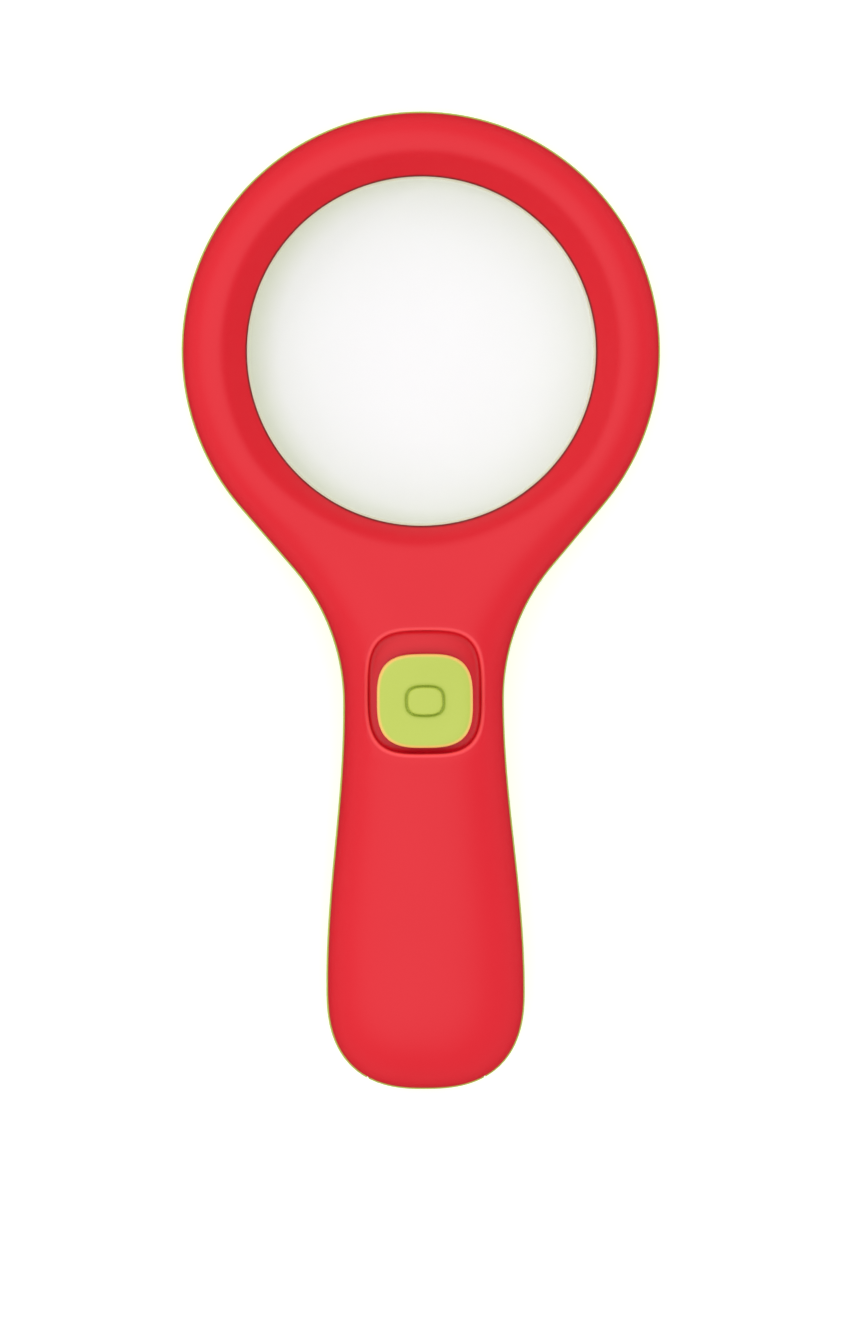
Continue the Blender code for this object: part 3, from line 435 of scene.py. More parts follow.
def sector_patch(outline, widen):
    across = pocket_side(outline, widen)

    def place(u, v):
        side = handle_column(round(u * 2 * HALF_COLUMNS) - HALF_COLUMNS, across)
        point = outline.throat(side)
        return point.normalized() * ring_radius(v, point.length)
    return 2 * HALF_COLUMNS, BAND_STEPS + BEVEL_STEPS, place


def grid(bm, columns, rows, place):
    """A grid of faces, each corner put where place(u, v) says."""
    made = bmesh.ops.create_grid(bm, x_segments=columns, y_segments=rows, size=1)
    for vert in made["verts"]:
        point = place((vert.co.x + 1) / 2, (vert.co.y + 1) / 2)
        vert.co = (point.x, point.y, 0)


def face_up(bm):
    bmesh.ops.recalc_face_normals(bm, faces=bm.faces[:])
    if sum(face.normal.z * face.calc_area() for face in bm.faces) < 0:
        bmesh.ops.reverse_faces(bm, faces=bm.faces[:])


def skin(inside, height, edge_lift, widen=POCKET_LIP):
    """One surface of a shell over the whole plan, its outline edge_lift above the seam."""
    outline = Outline(inside)
    bm = bmesh.new()
    grid(bm, *ring_patch(outline))
    grid(bm, *sector_patch(outline, widen))
    grid(bm, *handle_patch(outline, widen))
    bmesh.ops.remove_doubles(bm, verts=bm.verts[:], dist=SAME_CORNER)
    for vert in bm.verts:
        vert.co.z = max(height(outline, vert.co.x, -vert.co.y), edge_lift)
    face_up(bm)
    return bm


def open_loop(bm, low, high):
    """Open edges whose ends lie between two distances from the lens axis."""
    return [edge for edge in bm.edges if edge.is_boundary
            and all(low < vert.co.to_2d().length < high for vert in edge.verts)]


def pocket_loop(bm):
    """Open edges of the hole where the switch pocket goes."""
    def near(vert):
        x, y = vert.co.x / POCKET_X, (vert.co.y + POCKET_DROP) / POCKET_Y
        return max(abs(x), abs(y)) < POCKET_NEAR
    return [edge for edge in bm.edges if edge.is_boundary and all(map(near, edge.verts))]


def cut_pocket(bm, widen):
    """Removes the faces inside the pocket's outline."""
    inner = []
    for face in bm.faces:
        middle = face.calc_center_median()
        x, y = middle.x / (POCKET_X + widen), (middle.y + POCKET_DROP) / (POCKET_Y + widen)
        if reach(x, y, POCKET_POWER) < 1:
            inner.append(face)
    bmesh.ops.delete(bm, geom=inner, context="FACES")


def grow(bm, edges, move):
    """Extrudes open edges, with each new corner at move(corner), and gives the new open edges."""
    made = bmesh.ops.extrude_edge_only(bm, edges=edges)["geom"]
    for item in made:
        if isinstance(item, bmesh.types.BMVert):
            item.co = move(item)
    return [item for item in made if isinstance(item, bmesh.types.BMEdge) and item.is_boundary]


def crown_sag(x):
    """How far the pocket's floor and the pad's face lie below their middle line."""
    return POCKET_CROWN_R - math.sqrt(POCKET_CROWN_R**2 - x**2)


def sink_pocket(bm, height_at):
    """The pocket's lip, wall and floor, then the stem's slot and the floor's underside."""
    edges = pocket_loop(bm)
    lip_x, lip_y = POCKET_X + POCKET_LIP, POCKET_Y + POCKET_LIP
    half_x, half_y = lip_x, lip_y

    def level(new_x, new_y, z_at):
        nonlocal edges, half_x, half_y

        def move(vert):
            x, y = vert.co.x / half_x, (vert.co.y + POCKET_DROP) / half_y
            return Vector((x * new_x, y * new_y - POCKET_DROP, z_at(x, y, x * new_x)))
        edges = grow(bm, edges, move)
        half_x, half_y = new_x, new_y

    def lip(fall):
        return lambda x, y, _: height_at(x * lip_x, POCKET_DROP - y * lip_y) - fall

    def floor(lift):
        return lambda x, y, across: POCKET_Z - SEAM_Z - crown_sag(across) + lift

    for step in range(1, LIP_STEPS + 1):
        turn = math.pi / 2 * step / LIP_STEPS
        out = POCKET_LIP * (1 - math.sin(turn))
        level(POCKET_X + out, POCKET_Y + out, lip(POCKET_LIP * (1 - math.cos(turn))))
    for step in range(FILLET_STEPS + 1):
        turn = math.pi / 2 * step / FILLET_STEPS
        out = POCKET_FILLET * (1 - math.cos(turn))
        level(POCKET_X - out, POCKET_Y - out, floor(POCKET_FILLET * (1 - math.sin(turn))))
    for share in (0.15, 0.3, 0.5, 0.7, 0.85, 1.0):
        level(mix(POCKET_X - POCKET_FILLET, SLOT_X, share),
              mix(POCKET_Y - POCKET_FILLET, SLOT_Y, share), floor(0))
    for share in (0, 0.3, 0.6, 1.0):
        level(mix(SLOT_X, POCKET_X + TUB_REACH, share),
              mix(SLOT_Y, POCKET_Y + TUB_REACH, share), floor(-POCKET_FLOOR))


def join(bm, other):
    """Adds another bmesh to this one."""
    mesh = bpy.data.meshes.new("carried")
    other.to_mesh(mesh)
    other.free()
    bm.from_mesh(mesh)
    bpy.data.meshes.remove(mesh)


def spot(place):
    """A key that finds a corner by its place."""
    return tuple(round(part, 7) for part in place)


def round_edge(bm, edges, radius, steps):
    """Rolls an edge over, from the side wall down to the seam's flat rim."""
    bm.normal_update()
    outward = {spot(vert.co): Vector((vert.normal.x, vert.normal.y, 0)).normalized()
               for edge in edges for vert in edge.verts}
    done_in, done_down = 0.0, 0.0
    for step in range(1, steps + 1):
        turn = math.pi / 2 * step / steps
        reach_in, reach_down = radius * (1 - math.cos(turn)), radius * math.sin(turn)

        def move(vert, step_in=reach_in - done_in, step_down=reach_down - done_down):
            aim = outward[spot(vert.co)]
            new = vert.co - aim * step_in - Vector((0, 0, step_down))
            outward[spot(new)] = aim
            return new
        edges = grow(bm, edges, move)
        done_in, done_down = reach_in, reach_down


def shell(height, pocket, step_in=0.0):
    """A closed shell about the lens axis, its rim on the seam, with rounded edges."""
    rim = GAP / 2
    outer = skin(step_in, height, rim + SEAM_ROUND)
    inner = skin(WALL, height, rim, TUB_WALL)
    split = (CREST_R + OPENING_R) / 2
    if pocket:
        cut_pocket(outer, POCKET_LIP)
        cut_pocket(inner, TUB_WALL)
    outline = Outline(step_in)
    hole = pocket_loop(outer) if pocket else []
    edge = [item for item in open_loop(outer, split, 1.0) if item not in hole]
    round_edge(outer, edge, SEAM_ROUND, SEAM_STEPS)
    if pocket:
        sink_pocket(outer, lambda x, drop: height(outline, x, drop))
    opening = open_loop(outer, 0, split)
    lip_z = height(outline, OPENING_R, 0)
    start = math.pi / 4
    for step in range(1, OPENING_STEPS + 1):
        turn = start + (math.pi / 2 - start) * step / OPENING_STEPS
        out = LIP_ROUND * (math.sin(turn) - math.sin(start))
        fall = LIP_ROUND * (math.cos(start) - math.cos(turn))
        z, radius = lip_z - fall, OPENING_R - out

        def move(vert, radius=radius, z=z):
            return Vector((*(vert.co.to_2d().normalized() * radius), z))
        opening = grow(outer, opening, move)
    bmesh.ops.reverse_faces(inner, faces=inner.faces[:])
    join(outer, inner)
    if pocket:
        bmesh.ops.bridge_loops(outer, edges=pocket_loop(outer))
    bmesh.ops.bridge_loops(outer, edges=open_loop(outer, 0, split))
    bmesh.ops.bridge_loops(outer, edges=open_loop(outer, split, 1.0))
    bmesh.ops.recalc_face_normals(outer, faces=outer.faces[:])
    return outer


def stand_on_seam(bm, side):
    """Moves a mesh made about the lens axis into the world; side -1 turns it to the back."""
    if side < 0:
        bmesh.ops.scale(bm, vec=(1, 1, -1), verts=bm.verts[:])
        bmesh.ops.reverse_faces(bm, faces=bm.faces[:])
    bmesh.ops.translate(bm, verts=bm.verts[:], vec=(0, HEAD_Y, SEAM_Z))
    return bm


def carve(bm, tool, operation):
    """Joins a closed tool to a closed body, or cuts with it; tool may be several apart bodies."""
    made = []
    for part in (bm, tool):
        mesh = bpy.data.meshes.new("carved")
        part.to_mesh(mesh)
        part.free()
        obj = bpy.data.objects.new("carved", mesh)
        bpy.context.scene.collection.objects.link(obj)
        made.append(obj)
    body, cutter = made
    boolean = body.modifiers.new("boolean", "BOOLEAN")
    boolean.solver = "EXACT"
    boolean.operation = operation
    boolean.object = cutter
    evaluated = body.evaluated_get(bpy.context.evaluated_depsgraph_get())
    done = bpy.data.meshes.new_from_object(evaluated)
    result = bmesh.new()
    result.from_mesh(done)
    bmesh.ops.dissolve_degenerate(result, dist=SLIVER, edges=result.edges[:])
    for obj in made:
        mesh = obj.data
        bpy.data.objects.remove(obj)
        bpy.data.meshes.remove(mesh)
    bpy.data.meshes.remove(done)
    return result


def bodies(*parts):
    """Several closed bodies as one tool."""
    bm = parts[0]
    for part in parts[1:]:
        join(bm, part)
    return bm


# General shapes


def stack(loops):
    """A closed body through loops of equally many points, capped at both ends."""
    bm = bmesh.new()
    face = bm.faces.new([bm.verts.new(point) for point in loops[0]])
    for loop in loops[1:]:
        made = bmesh.ops.extrude_face_region(bm, geom=[face])
        old, face = face, next(g for g in made["geom"] if isinstance(g, bmesh.types.BMFace))
        for vert, point in zip([corner.vert for corner in face.loops], loop):
            vert.co = point
        if old.is_valid and loop is not loops[1]:
            bm.faces.remove(old)
    bmesh.ops.recalc_face_normals(bm, faces=bm.faces[:])
    return bm


def superellipse(half_x, half_y, power, count):
    """Points of a loop between an ellipse, at power 2, and a box."""
    points = []
    for index in range(count):
        angle = 2 * math.pi * (index + 0.5) / count
        cos, sin = math.cos(angle), math.sin(angle)
        points.append((half_x * math.copysign(abs(cos) ** (2 / power), cos),
                       half_y * math.copysign(abs(sin) ** (2 / power), sin)))
    return points


def block(low, high):
    """An upright box between two corners."""
    corners = [(low[0], low[1]), (high[0], low[1]), (high[0], high[1]), (low[0], high[1])]
    return stack([[(x, y, z) for x, y in corners] for z in (low[2], high[2])])


def middle_block(half, y, z):
    """A box that reaches as far left as right, between two Ys and two heights."""
    return block((-half, y[0], z[0]), (half, y[1], z[1]))


def bar(section, start, end):
    """A bar along Y whose section is points of (x, z)."""
    return stack([[(x, y, z) for x, z in section] for y in (start, end)])


def mark(bm, name, share_at):
    """Stores a share from 0 to 1 at each corner, for a finish to read."""
    layer = bm.verts.layers.float.new(name)
    for vert in bm.verts:
        vert[layer] = share_at(vert.co)


def turned(profile, centre, steps, closed=False):
    """A body from a profile of (radius, z), turned round an upright axis at centre (x, y)."""
    bm = bmesh.new()
    corners = [bm.verts.new((centre[0] + radius, centre[1], z)) for radius, z in profile]
    pairs = list(zip(corners, corners[1:])) + ([(corners[-1], corners[0])] if closed else [])
    edges = [bm.edges.new(pair) for pair in pairs]
    bmesh.ops.spin(bm, geom=corners + edges, cent=(*centre, 0), axis=(0, 0, 1), dvec=(0, 0, 0),
                   angle=2 * math.pi, steps=steps, use_merge=True)
    bmesh.ops.remove_doubles(bm, verts=bm.verts[:], dist=1e-7)
    bmesh.ops.recalc_face_normals(bm, faces=bm.faces[:])
    return bm


def piece(name, bm, finish, body, nodes, sharp=40):
    """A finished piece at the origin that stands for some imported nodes."""
    mesh = bpy.data.meshes.new(name)
    bm.to_mesh(mesh)
    bm.free()
    mesh.shade_smooth()
    mesh.set_sharp_from_angle(angle=math.radians(sharp))
    obj = bpy.data.objects.new(name, mesh)
    bpy.context.scene.collection.objects.link(obj)
    mesh.materials.append(finish)
    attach(obj, body)
    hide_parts(*nodes)
    return obj


# Finishes

GRAIN = 0.00045
GRAIN_DEPTH = 0.00001
EDGE_SHADE_BAND = (0.82, 1.08)  # the lens's painted greenish shade comes in between these shares of its radius
# the painted shade is centred this far to the right, so it is darker at the lens's left edge
EDGE_SHADE_SHIFT = 0.0030
TAN = (0.50, 0.36, 0.19)
RESISTOR_RINGS = [(0.27, 0.33, (0.30, 0.02, 0.01)), (0.42, 0.48, (0.01, 0.01, 0.01)),
                  (0.56, 0.62, (0.16, 0.06, 0.02)), (0.72, 0.78, (0.55, 0.40, 0.08))]


class Wire:
    """A value in a node tree; sums, differences and products of wires add Math nodes."""

    def __init__(self, nodes, socket):
        self.nodes = nodes
        self.socket = socket

    def maths(self, operation, first, second):
        return self.nodes.node("ShaderNodeMath", {"operation": operation}, {0: first, 1: second})

    def __add__(self, other):
        return self.maths("ADD", self, other)

    def __radd__(self, other):
        return self.maths("ADD", other, self)

    def __sub__(self, other):
        return self.maths("SUBTRACT", self, other)

    def __rsub__(self, other):
        return self.maths("SUBTRACT", other, self)

    def __mul__(self, other):
        return self.maths("MULTIPLY", self, other)

    def __rmul__(self, other):
        return self.maths("MULTIPLY", other, self)

    def __truediv__(self, other):
        return self.maths("DIVIDE", self, other)

    def __rtruediv__(self, other):
        return self.maths("DIVIDE", other, self)

    def at_least(self, other):
        return self.maths("MAXIMUM", self, other)


class Nodes:
    """A node tree, with one way to add a node."""

    def __init__(self, tree):
        self.tree = tree

    def node(self, kind, settings=None, sockets=None, out=0):
        """Adds a node; its settings are put first, then its sockets' values or wires."""
        node = self.tree.nodes.new(kind)
        for name, value in (settings or {}).items():
            if name == "stops":
                for index, (place, colour) in enumerate(value):
                    ramp = node.color_ramp.elements
                    stop = ramp[index] if index < len(ramp) else ramp.new(place)
                    stop.position = place
                    stop.color = (*colour, 1)
            else:
                setattr(node, name, value)
        for name, value in (sockets or {}).items():
            self.plug(node.inputs[name], value)
        return Wire(self, node.outputs[out])

    def plug(self, socket, value):
        if isinstance(value, Wire):
            self.tree.links.new(value.socket, socket)
        elif socket.type == "RGBA" and len(value) == 3:
            socket.default_value = (*value, 1)
        else:
            socket.default_value = value


class Finish(Nodes):
    """A material with one Principled shader, fed by wires."""

    def __init__(self, name, **values):
        self.material = bpy.data.materials.new(name)
        self.material.use_nodes = True
        super().__init__(self.material.node_tree)
        self.shader = self.tree.nodes["Principled BSDF"]
        self.place = self.node("ShaderNodeTexCoord", out="Object")
        self.set(**values)

    def set(self, **values):
        """Puts values or wires on the shader, each under its socket's name with _ for spaces."""
        for name, value in values.items():
            self.plug(self.shader.inputs[name.replace("_", " ")], value)

    def noise(self, size, detail=2.0, rough=0.5, stretch=(1, 1, 1)):
        """Noise from 0 to 1 whose lumps are about size across."""
        vector = self.node("ShaderNodeMapping", None, {"Vector": self.place, "Scale": stretch})
        sockets = {"Vector": vector, "Scale": 1 / size, "Detail": detail, "Roughness": rough}
        return self.node("ShaderNodeTexNoise", None, sockets, "Fac")

    def shades(self, first, second, share):
        """A colour between two, by a wire from 0 to 1."""
        sockets = {0: share, 6: first, 7: second}
        return self.node("ShaderNodeMix", {"data_type": "RGBA"}, sockets, 2)

    def bump(self, height, depth):
        """A normal from a wire of height, where 1 stands depth metres proud."""
        sockets = {"Height": height, "Distance": depth}
        self.set(Normal=self.node("ShaderNodeBump", None, sockets, "Normal"))

    def axis(self, index):
        """The object's own x, y or z."""
        return self.node("ShaderNodeSeparateXYZ", None, {"Vector": self.place}, index)

    def radius(self, centre):
        """Distance from an upright axis at centre (x, y)."""
        sockets = {"Vector": self.place, "Scale": (1, 1, 0),
                   "Location": (-centre[0], -centre[1], 0)}
        vector = self.node("ShaderNodeMapping", None, sockets)
        return self.node("ShaderNodeVectorMath", {"operation": "LENGTH"}, {0: vector}, "Value")

    def mark(self, name):
        """A share that the piece's corners carry."""
        return self.node("ShaderNodeAttribute", {"attribute_name": name}, None, "Fac")

    def between(self, value, low, high):
        """0 below low and 1 above high, eased."""
        settings = {"interpolation_type": "SMOOTHSTEP"}
        sockets = {"Value": value, "From Min": low, "From Max": high}
        return self.node("ShaderNodeMapRange", settings, sockets, "Result")

    def let_light_through(self, share):
        """Lets lamps and daylight reach what is behind clear plastic, dimmed to this share."""
        ray = self.node("ShaderNodeLightPath", out="Is Shadow Ray")
        soft = self.node("ShaderNodeLightPath", out="Is Diffuse Ray")
        plain = self.node("ShaderNodeBsdfTransparent", None, {"Color": (share, share, share)})
        bent = Wire(self, self.shader.outputs[0])
        both = self.node("ShaderNodeMixShader", None, {0: ray.at_least(soft), 1: bent, 2: plain})
        self.plug(self.tree.nodes["Material Output"].inputs["Surface"], both)


def moulded(name, light, deep, roughness, edge_highlight=None, painted_rim_shade=None, painted_pad_shade=None):
    """Satin moulded plastic: slow colour drift, fine spark-eroded grain and faint rubbing.

    The colour lightens to a painted highlight where a piece carries the edge mark, on a lip or a
    rim, darkens to painted shade along the seam and the lens opening, and darkens to painted shade
    where a piece carries the groove mark, round the pad's nub and low on its sides.
    """
    finish = Finish(name, IOR=1.46)
    drift = finish.noise(0.022)
    fine = finish.noise(GRAIN, rough=0.6)
    rub = finish.noise(0.006, 4.0, 0.65, (1, 0.35, 1))
    colour = finish.shades(deep, light, drift * 0.75 + fine * 0.25)
    # painted highlight along marked lips and rims
    if edge_highlight:
        colour = finish.shades(colour, edge_highlight, finish.mark("worn_edge"))
    # painted shade along the seam and round the lens opening
    if painted_rim_shade:
        seam = 1 - finish.between(finish.axis(2), SEAM_Z + 0.0004, SEAM_Z + 0.0010)
        away = finish.radius((0, HEAD_Y))
        opening = 1 - finish.between(away, OPENING_R, OPENING_R + 0.0004)
        colour = finish.shades(colour, painted_rim_shade, seam.at_least(opening))
    # painted shade round the pad's nub and low on the pad's sides
    if painted_pad_shade:
        colour = finish.shades(colour, painted_pad_shade, finish.mark("groove"))
    finish.set(Base_Color=colour, Roughness=roughness - 0.05 + 0.06 * rub + 0.04 * fine)
    finish.bump(fine + 0.3 * finish.noise(0.0016), GRAIN_DEPTH)
    return finish.material


def clear_plastic(name, clear, edge_shade):
    """Polished clear plastic with painted greenish shade towards the lens's edge, darker at the
    left.
    """
    finish = Finish(name, IOR=1.49, Transmission_Weight=1.0)
    # painted greenish shade towards the lens's edge, more at the left
    away = finish.radius((EDGE_SHADE_SHIFT, HEAD_Y))
    edge = finish.between(away, LENS_R * EDGE_SHADE_BAND[0], LENS_R * EDGE_SHADE_BAND[1])
    haze = finish.noise(0.009, 3.0, 0.6)
    finish.set(Base_Color=finish.shades(clear, edge_shade, edge * (0.75 + 0.25 * haze)),
               Roughness=0.015 + 0.01 * finish.noise(0.02))
    finish.let_light_through(0.92)
    return finish.material


def metal(name, light, deep, roughness):
    """Plated metal with a drawn grain and small stains."""
    finish = Finish(name, Metallic=1.0)
    grain = finish.noise(0.0006, 3.0, 0.6, (1, 0.15, 1))
    stain = finish.noise(0.0022, 3.0, 0.6)
    finish.set(Base_Color=finish.shades(deep, light, stain * 0.6 + grain * 0.4),
               Roughness=roughness + 0.12 * stain)
    finish.bump(grain, 0.000008)
    return finish.material


def board_finish():
    """Solder mask over copper tracks, with pads near the lamps."""
    finish = Finish("board_mask", IOR=1.5, Coat_Weight=0.3)
    x, y = finish.axis(0), finish.axis(1)
    lanes = finish.node("ShaderNodeTexWave", {"bands_direction": "X", "wave_profile": "SIN"},
                        {"Vector": finish.place, "Scale": 90.0, "Distortion": 1.2,
                         "Detail": 1.0, "Detail Scale": 40.0}, "Fac")
    track = finish.between(lanes, 0.62, 0.7)
    weave = finish.noise(0.0005)
    green = finish.shades((0.008, 0.11, 0.035), (0.02, 0.20, 0.07), track * 0.8 + weave * 0.2)
    copper = finish.between(finish.noise(0.0035, 0.0), 0.66, 0.68)
    finish.set(Base_Color=finish.shades(green, (0.55, 0.42, 0.22), copper),
               Roughness=0.4 - 0.1 * track + 0.1 * weave, Metallic=copper)
    finish.bump(track + weave * 0.3, 0.00003)
    return finish.material


def cell_finish():
    """Dark sleeve of a cell, with a copper-coloured band at one end and a bare steel end."""
    finish = Finish("cell_sleeve", IOR=1.5, Coat_Weight=0.25)
    end_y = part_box("battery_left")[1].y
    along = finish.axis(1)
    band = finish.between(along, end_y - 0.0125, end_y - 0.0122)
    end = finish.between(along, end_y - 0.0014, end_y - 0.0012)
    sleeve = finish.shades((0.018, 0.02, 0.028), (0.55, 0.27, 0.09), band)
    scuff = finish.noise(0.0012, 3.0, 0.6, (1, 0.3, 1))
    finish.set(Base_Color=finish.shades(sleeve, (0.6, 0.6, 0.58), end),
               Metallic=end.at_least(band * 0.5), Roughness=0.28 + 0.18 * scuff)
    finish.bump(scuff, GRAIN_DEPTH)
    return finish.material


def resistor_finish():
    """Tan lacquer with four coloured rings, and tinned leads."""
    finish = Finish("resistor_lacquer", IOR=1.5)
    low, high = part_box("resistor")
    along = (finish.axis(0) - low.x) / (high.x - low.x)
    wire = 1 - finish.between(along, 0.13, 0.15) * (1 - finish.between(along, 0.85, 0.87))
    stops = [(0.0, TAN)]
    for start, end, colour in RESISTOR_RINGS:
        stops += [(start, colour), (end, TAN)]
    bands = finish.node("ShaderNodeValToRGB", {"stops": stops}, {"Fac": along}, "Color")
    speck = finish.noise(0.0004)
    finish.set(Base_Color=finish.shades(bands, (0.7, 0.7, 0.7), wire), Metallic=wire,
               Roughness=0.35 + 0.15 * speck)
    finish.bump(speck, GRAIN_DEPTH)
    return finish.material


def soft_rubber(name, light, deep):
    """Dull, slightly dusty surface of rubber, or of plastic that is ground."""
    finish = Finish(name, IOR=1.42)
    fine = finish.noise(0.0003, 3.0, 0.6)
    dust = finish.noise(0.004, 4.0, 0.6)
    finish.set(Base_Color=finish.shades(deep, light, dust), Roughness=0.6 + 0.15 * fine)
    finish.bump(fine, GRAIN_DEPTH)
    return finish.material


def epoxy():
    """Cloudy clear epoxy of the lamps."""
    finish = Finish("lamp_epoxy", IOR=1.53, Transmission_Weight=0.7)
    cloud = finish.noise(0.0011, 3.0)
    finish.set(Base_Color=finish.shades((0.80, 0.82, 0.70), (0.96, 0.96, 0.90), cloud),
               Roughness=0.08 + 0.12 * cloud)
    return finish.material


# Pieces


def screw_places():
    """Plan places of the case screws: four round the ring, two at the shoulders."""
    ring = [Vector((math.cos(math.radians(angle)), math.sin(math.radians(angle)))) * SCREW_RING_R
            for angle in SCREW_ANGLES]
    shoulders = [Vector((side * SHOULDER_SCREW_X, -SHOULDER_SCREW_DROP)) for side in (-1, 1)]
    return [Vector((place.x, HEAD_Y + place.y)) for place in ring + shoulders]


def front_case(finish):
    """Red front shell with a screw boss over each case screw."""
    bm = stand_on_seam(shell(front_height, True, RIM_STEP), 1)
    outline = Outline(RIM_STEP)
    bosses = []
    for place in screw_places():
        around = [place + Vector((math.cos(turn), math.sin(turn))) * FRONT_BOSS_R
                  for turn in (2 * math.pi / BOSS_SIDES * side for side in range(BOSS_SIDES))]
        lowest = min(front_height(outline, at.x, HEAD_Y - at.y) for at in around)
        top = SEAM_Z + lowest - BOSS_COVER
        profile = [(0, BOSS_HOLE_TOP), (BOSS_HOLE_R, BOSS_HOLE_TOP), (BOSS_HOLE_R, FRONT_BOSS_LOW),
                   (FRONT_BOSS_R, FRONT_BOSS_LOW), (FRONT_BOSS_R, top), (0, top)]
        bosses.append(turned(profile, place, FRONT_BOSS_SIDES))
    bm = carve(bm, bodies(*bosses), "UNION")

    # painted highlight line just outside the pocket's wall, on its lip
    def lip_highlight_share(place):
        x, y = place.x / POCKET_X, (place.y - down(POCKET_DROP)) / POCKET_Y
        off = (reach(x, y, POCKET_POWER) - 1) * POCKET_X
        if place.z < LIP_HIGHLIGHT_LOW:
            return 0.0
        return smooth(-0.0001, 0.0002, off) * (1 - smooth(*LIP_HIGHLIGHT, off))
    mark(bm, "worn_edge", lip_highlight_share)
    return piece("front_case", bm, finish, CASE_BODY, ["front_shell"])


def back_case(finish, blank):
    """Lime back shell with its lens seat, bosses and rails, and its openings."""
    doorway = middle_block(DOOR_HALF + GAP, (TAIL_END, DOOR_Y + GAP), (-PAST, SEAM_Z + PAST))
    case = carve(blank, doorway, "DIFFERENCE")
    grooves = middle_block(GROOVE_HALF, (TAIL_END, DOOR_Y - GAP), (GROOVE_LOW, GROOVE_HIGH))
    case = carve(case, grooves, "DIFFERENCE")
    seat = turned(SEAT_PROFILE, (0, HEAD_Y), LENS_SIDES, closed=True)
    rest = middle_block(BOARD_REST_X,
                        (BOARD_REST_Y - BOARD_REST_HALF, BOARD_REST_Y + BOARD_REST_HALF),
                        (BOARD_REST_LOW, board_low.z - GAP))
    post = [(0, BOSS_LOW), (BOSS_R, BOSS_LOW), (BOSS_R, BOSS_HIGH), (0, BOSS_HIGH)]
    bosses = [turned(post, place, BOSS_SIDES) for place in screw_places()]
    rails = [bar([(side * x, z) for x, z in RAIL_SECTION], RAIL_END, DOOR_Y - GAP)
             for side in (-1, 1)]
    case = carve(case, bodies(seat, rest, *bosses, *rails), "UNION")
    hole = [(0, -PAST), (SCREW_HEAD_HOLE, -PAST), (SCREW_HEAD_HOLE, SCREW_SEAT),
            (BOSS_HOLE_R, SCREW_SEAT), (BOSS_HOLE_R, SEAM_Z + PAST), (0, SEAM_Z + PAST)]
    drills = [turned(hole, place, BOSS_SIDES) for place in screw_places()]
    window = stack([[(x, down(WINDOW_DROP) + y, z)
                     for x, y in superellipse(WINDOW_X, WINDOW_Y, WINDOW_POWER, WINDOW_POINTS)]
                    for z in (-PAST, WINDOW_CUT)])
    case = carve(case, bodies(window, *drills), "DIFFERENCE")
    return piece("back_case", case, finish, CASE_BODY, ["back_shell"])


def door_panel(finish, blank):
    """The battery door: the back shell's middle, with a tongue on each side and thumb ridges."""
    middle = middle_block(DOOR_HALF, (TAIL_END, DOOR_Y - DOOR_TRIM), (-PAST, SEAM_Z + PAST))
    door = carve(blank, middle, "INTERSECT")
    tongues = [block((left, RAIL_END, TONGUE_LOW), (right, DOOR_Y - 2 * GAP, TONGUE_HIGH))
               for left, right in ((-TONGUE_REACH, -TONGUE_ROOT), (TONGUE_ROOT, TONGUE_REACH))]
    door = carve(door, bodies(*tongues), "UNION")
    ridges = []
    for index in range(RIDGE_COUNT):
        start = down(RIDGE_FIRST + RIDGE_PITCH * index)
        ridges.append(middle_block(RIDGE_HALF, (start, start + RIDGE_WIDTH), (-PAST, RIDGE_DEPTH)))
    door = carve(door, bodies(*ridges), "DIFFERENCE")
    return piece("door_panel", door, finish, DOOR_BODY, ["battery_door"])


def magnifying_lens(finish, ground):
    """Biconvex lens with a flat, slightly bevelled edge, which is ground."""
    sag = (lens_high.z - lens_low.z - LENS_EDGE) / 2
    curve_r = (LENS_R**2 + sag**2) / (2 * sag)
    front = []
    for index in range(LENS_STEPS + 1):
        radius = (LENS_R - LENS_CHAMFER) * index / LENS_STEPS
        front.append((radius, lens_high.z - SEAM_Z - curve_r + math.sqrt(curve_r**2 - radius**2)))
    front.append((LENS_R, front[-1][1] - LENS_CHAMFER))
    back = [(radius, -z) for radius, z in reversed(front)]
    profile = [(radius, SEAM_Z + z) for radius, z in front + back]
    bm = turned(profile, (0, HEAD_Y), LENS_SIDES)
    for face in bm.faces:
        middle = face.calc_center_median() - Vector((0, HEAD_Y, 0))
        if middle.to_2d().length > LENS_R - LENS_CHAMFER:
            face.material_index = 1
    lens = piece("magnifying_lens", bm, finish, CASE_BODY, ["lens"])
    lens.data.materials.append(ground)
    return lens


def seal_ring(finish):
    """Soft ring between lens and front shell, round in section."""
    low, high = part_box("lens_seal")
    inner, outer = LENS_R - SEAL_COVER, high.x
    half_x, half_z = (outer - inner) / 2, (high.z - low.z) / 2
    section = superellipse(half_x, half_z, SEAL_POWER, SEAL_POINTS)
    profile = [((outer + inner) / 2 + x, (low.z + high.z) / 2 + z) for x, z in section]
    bm = turned(profile, (0, HEAD_Y), SEAL_SIDES, closed=True)
    return piece("seal_ring", bm, finish, CASE_BODY, ["lens_seal"])


def shrunk(points, inset):
    """A loop about the origin, made smaller by an inset on every side."""
    half_x = max(abs(x) for x, _ in points)
    half_y = max(abs(y) for _, y in points)
    return [(x * (half_x - inset) / half_x, y * (half_y - inset) / half_y) for x, y in points]


def blend(first, second, share):
    """A loop between two loops of equally many points."""
    return [(mix(a[0], b[0], share), mix(a[1], b[1], share)) for a, b in zip(first, second)]


def enlarged(points, scale):
    return [(x * scale, y * scale) for x, y in points]


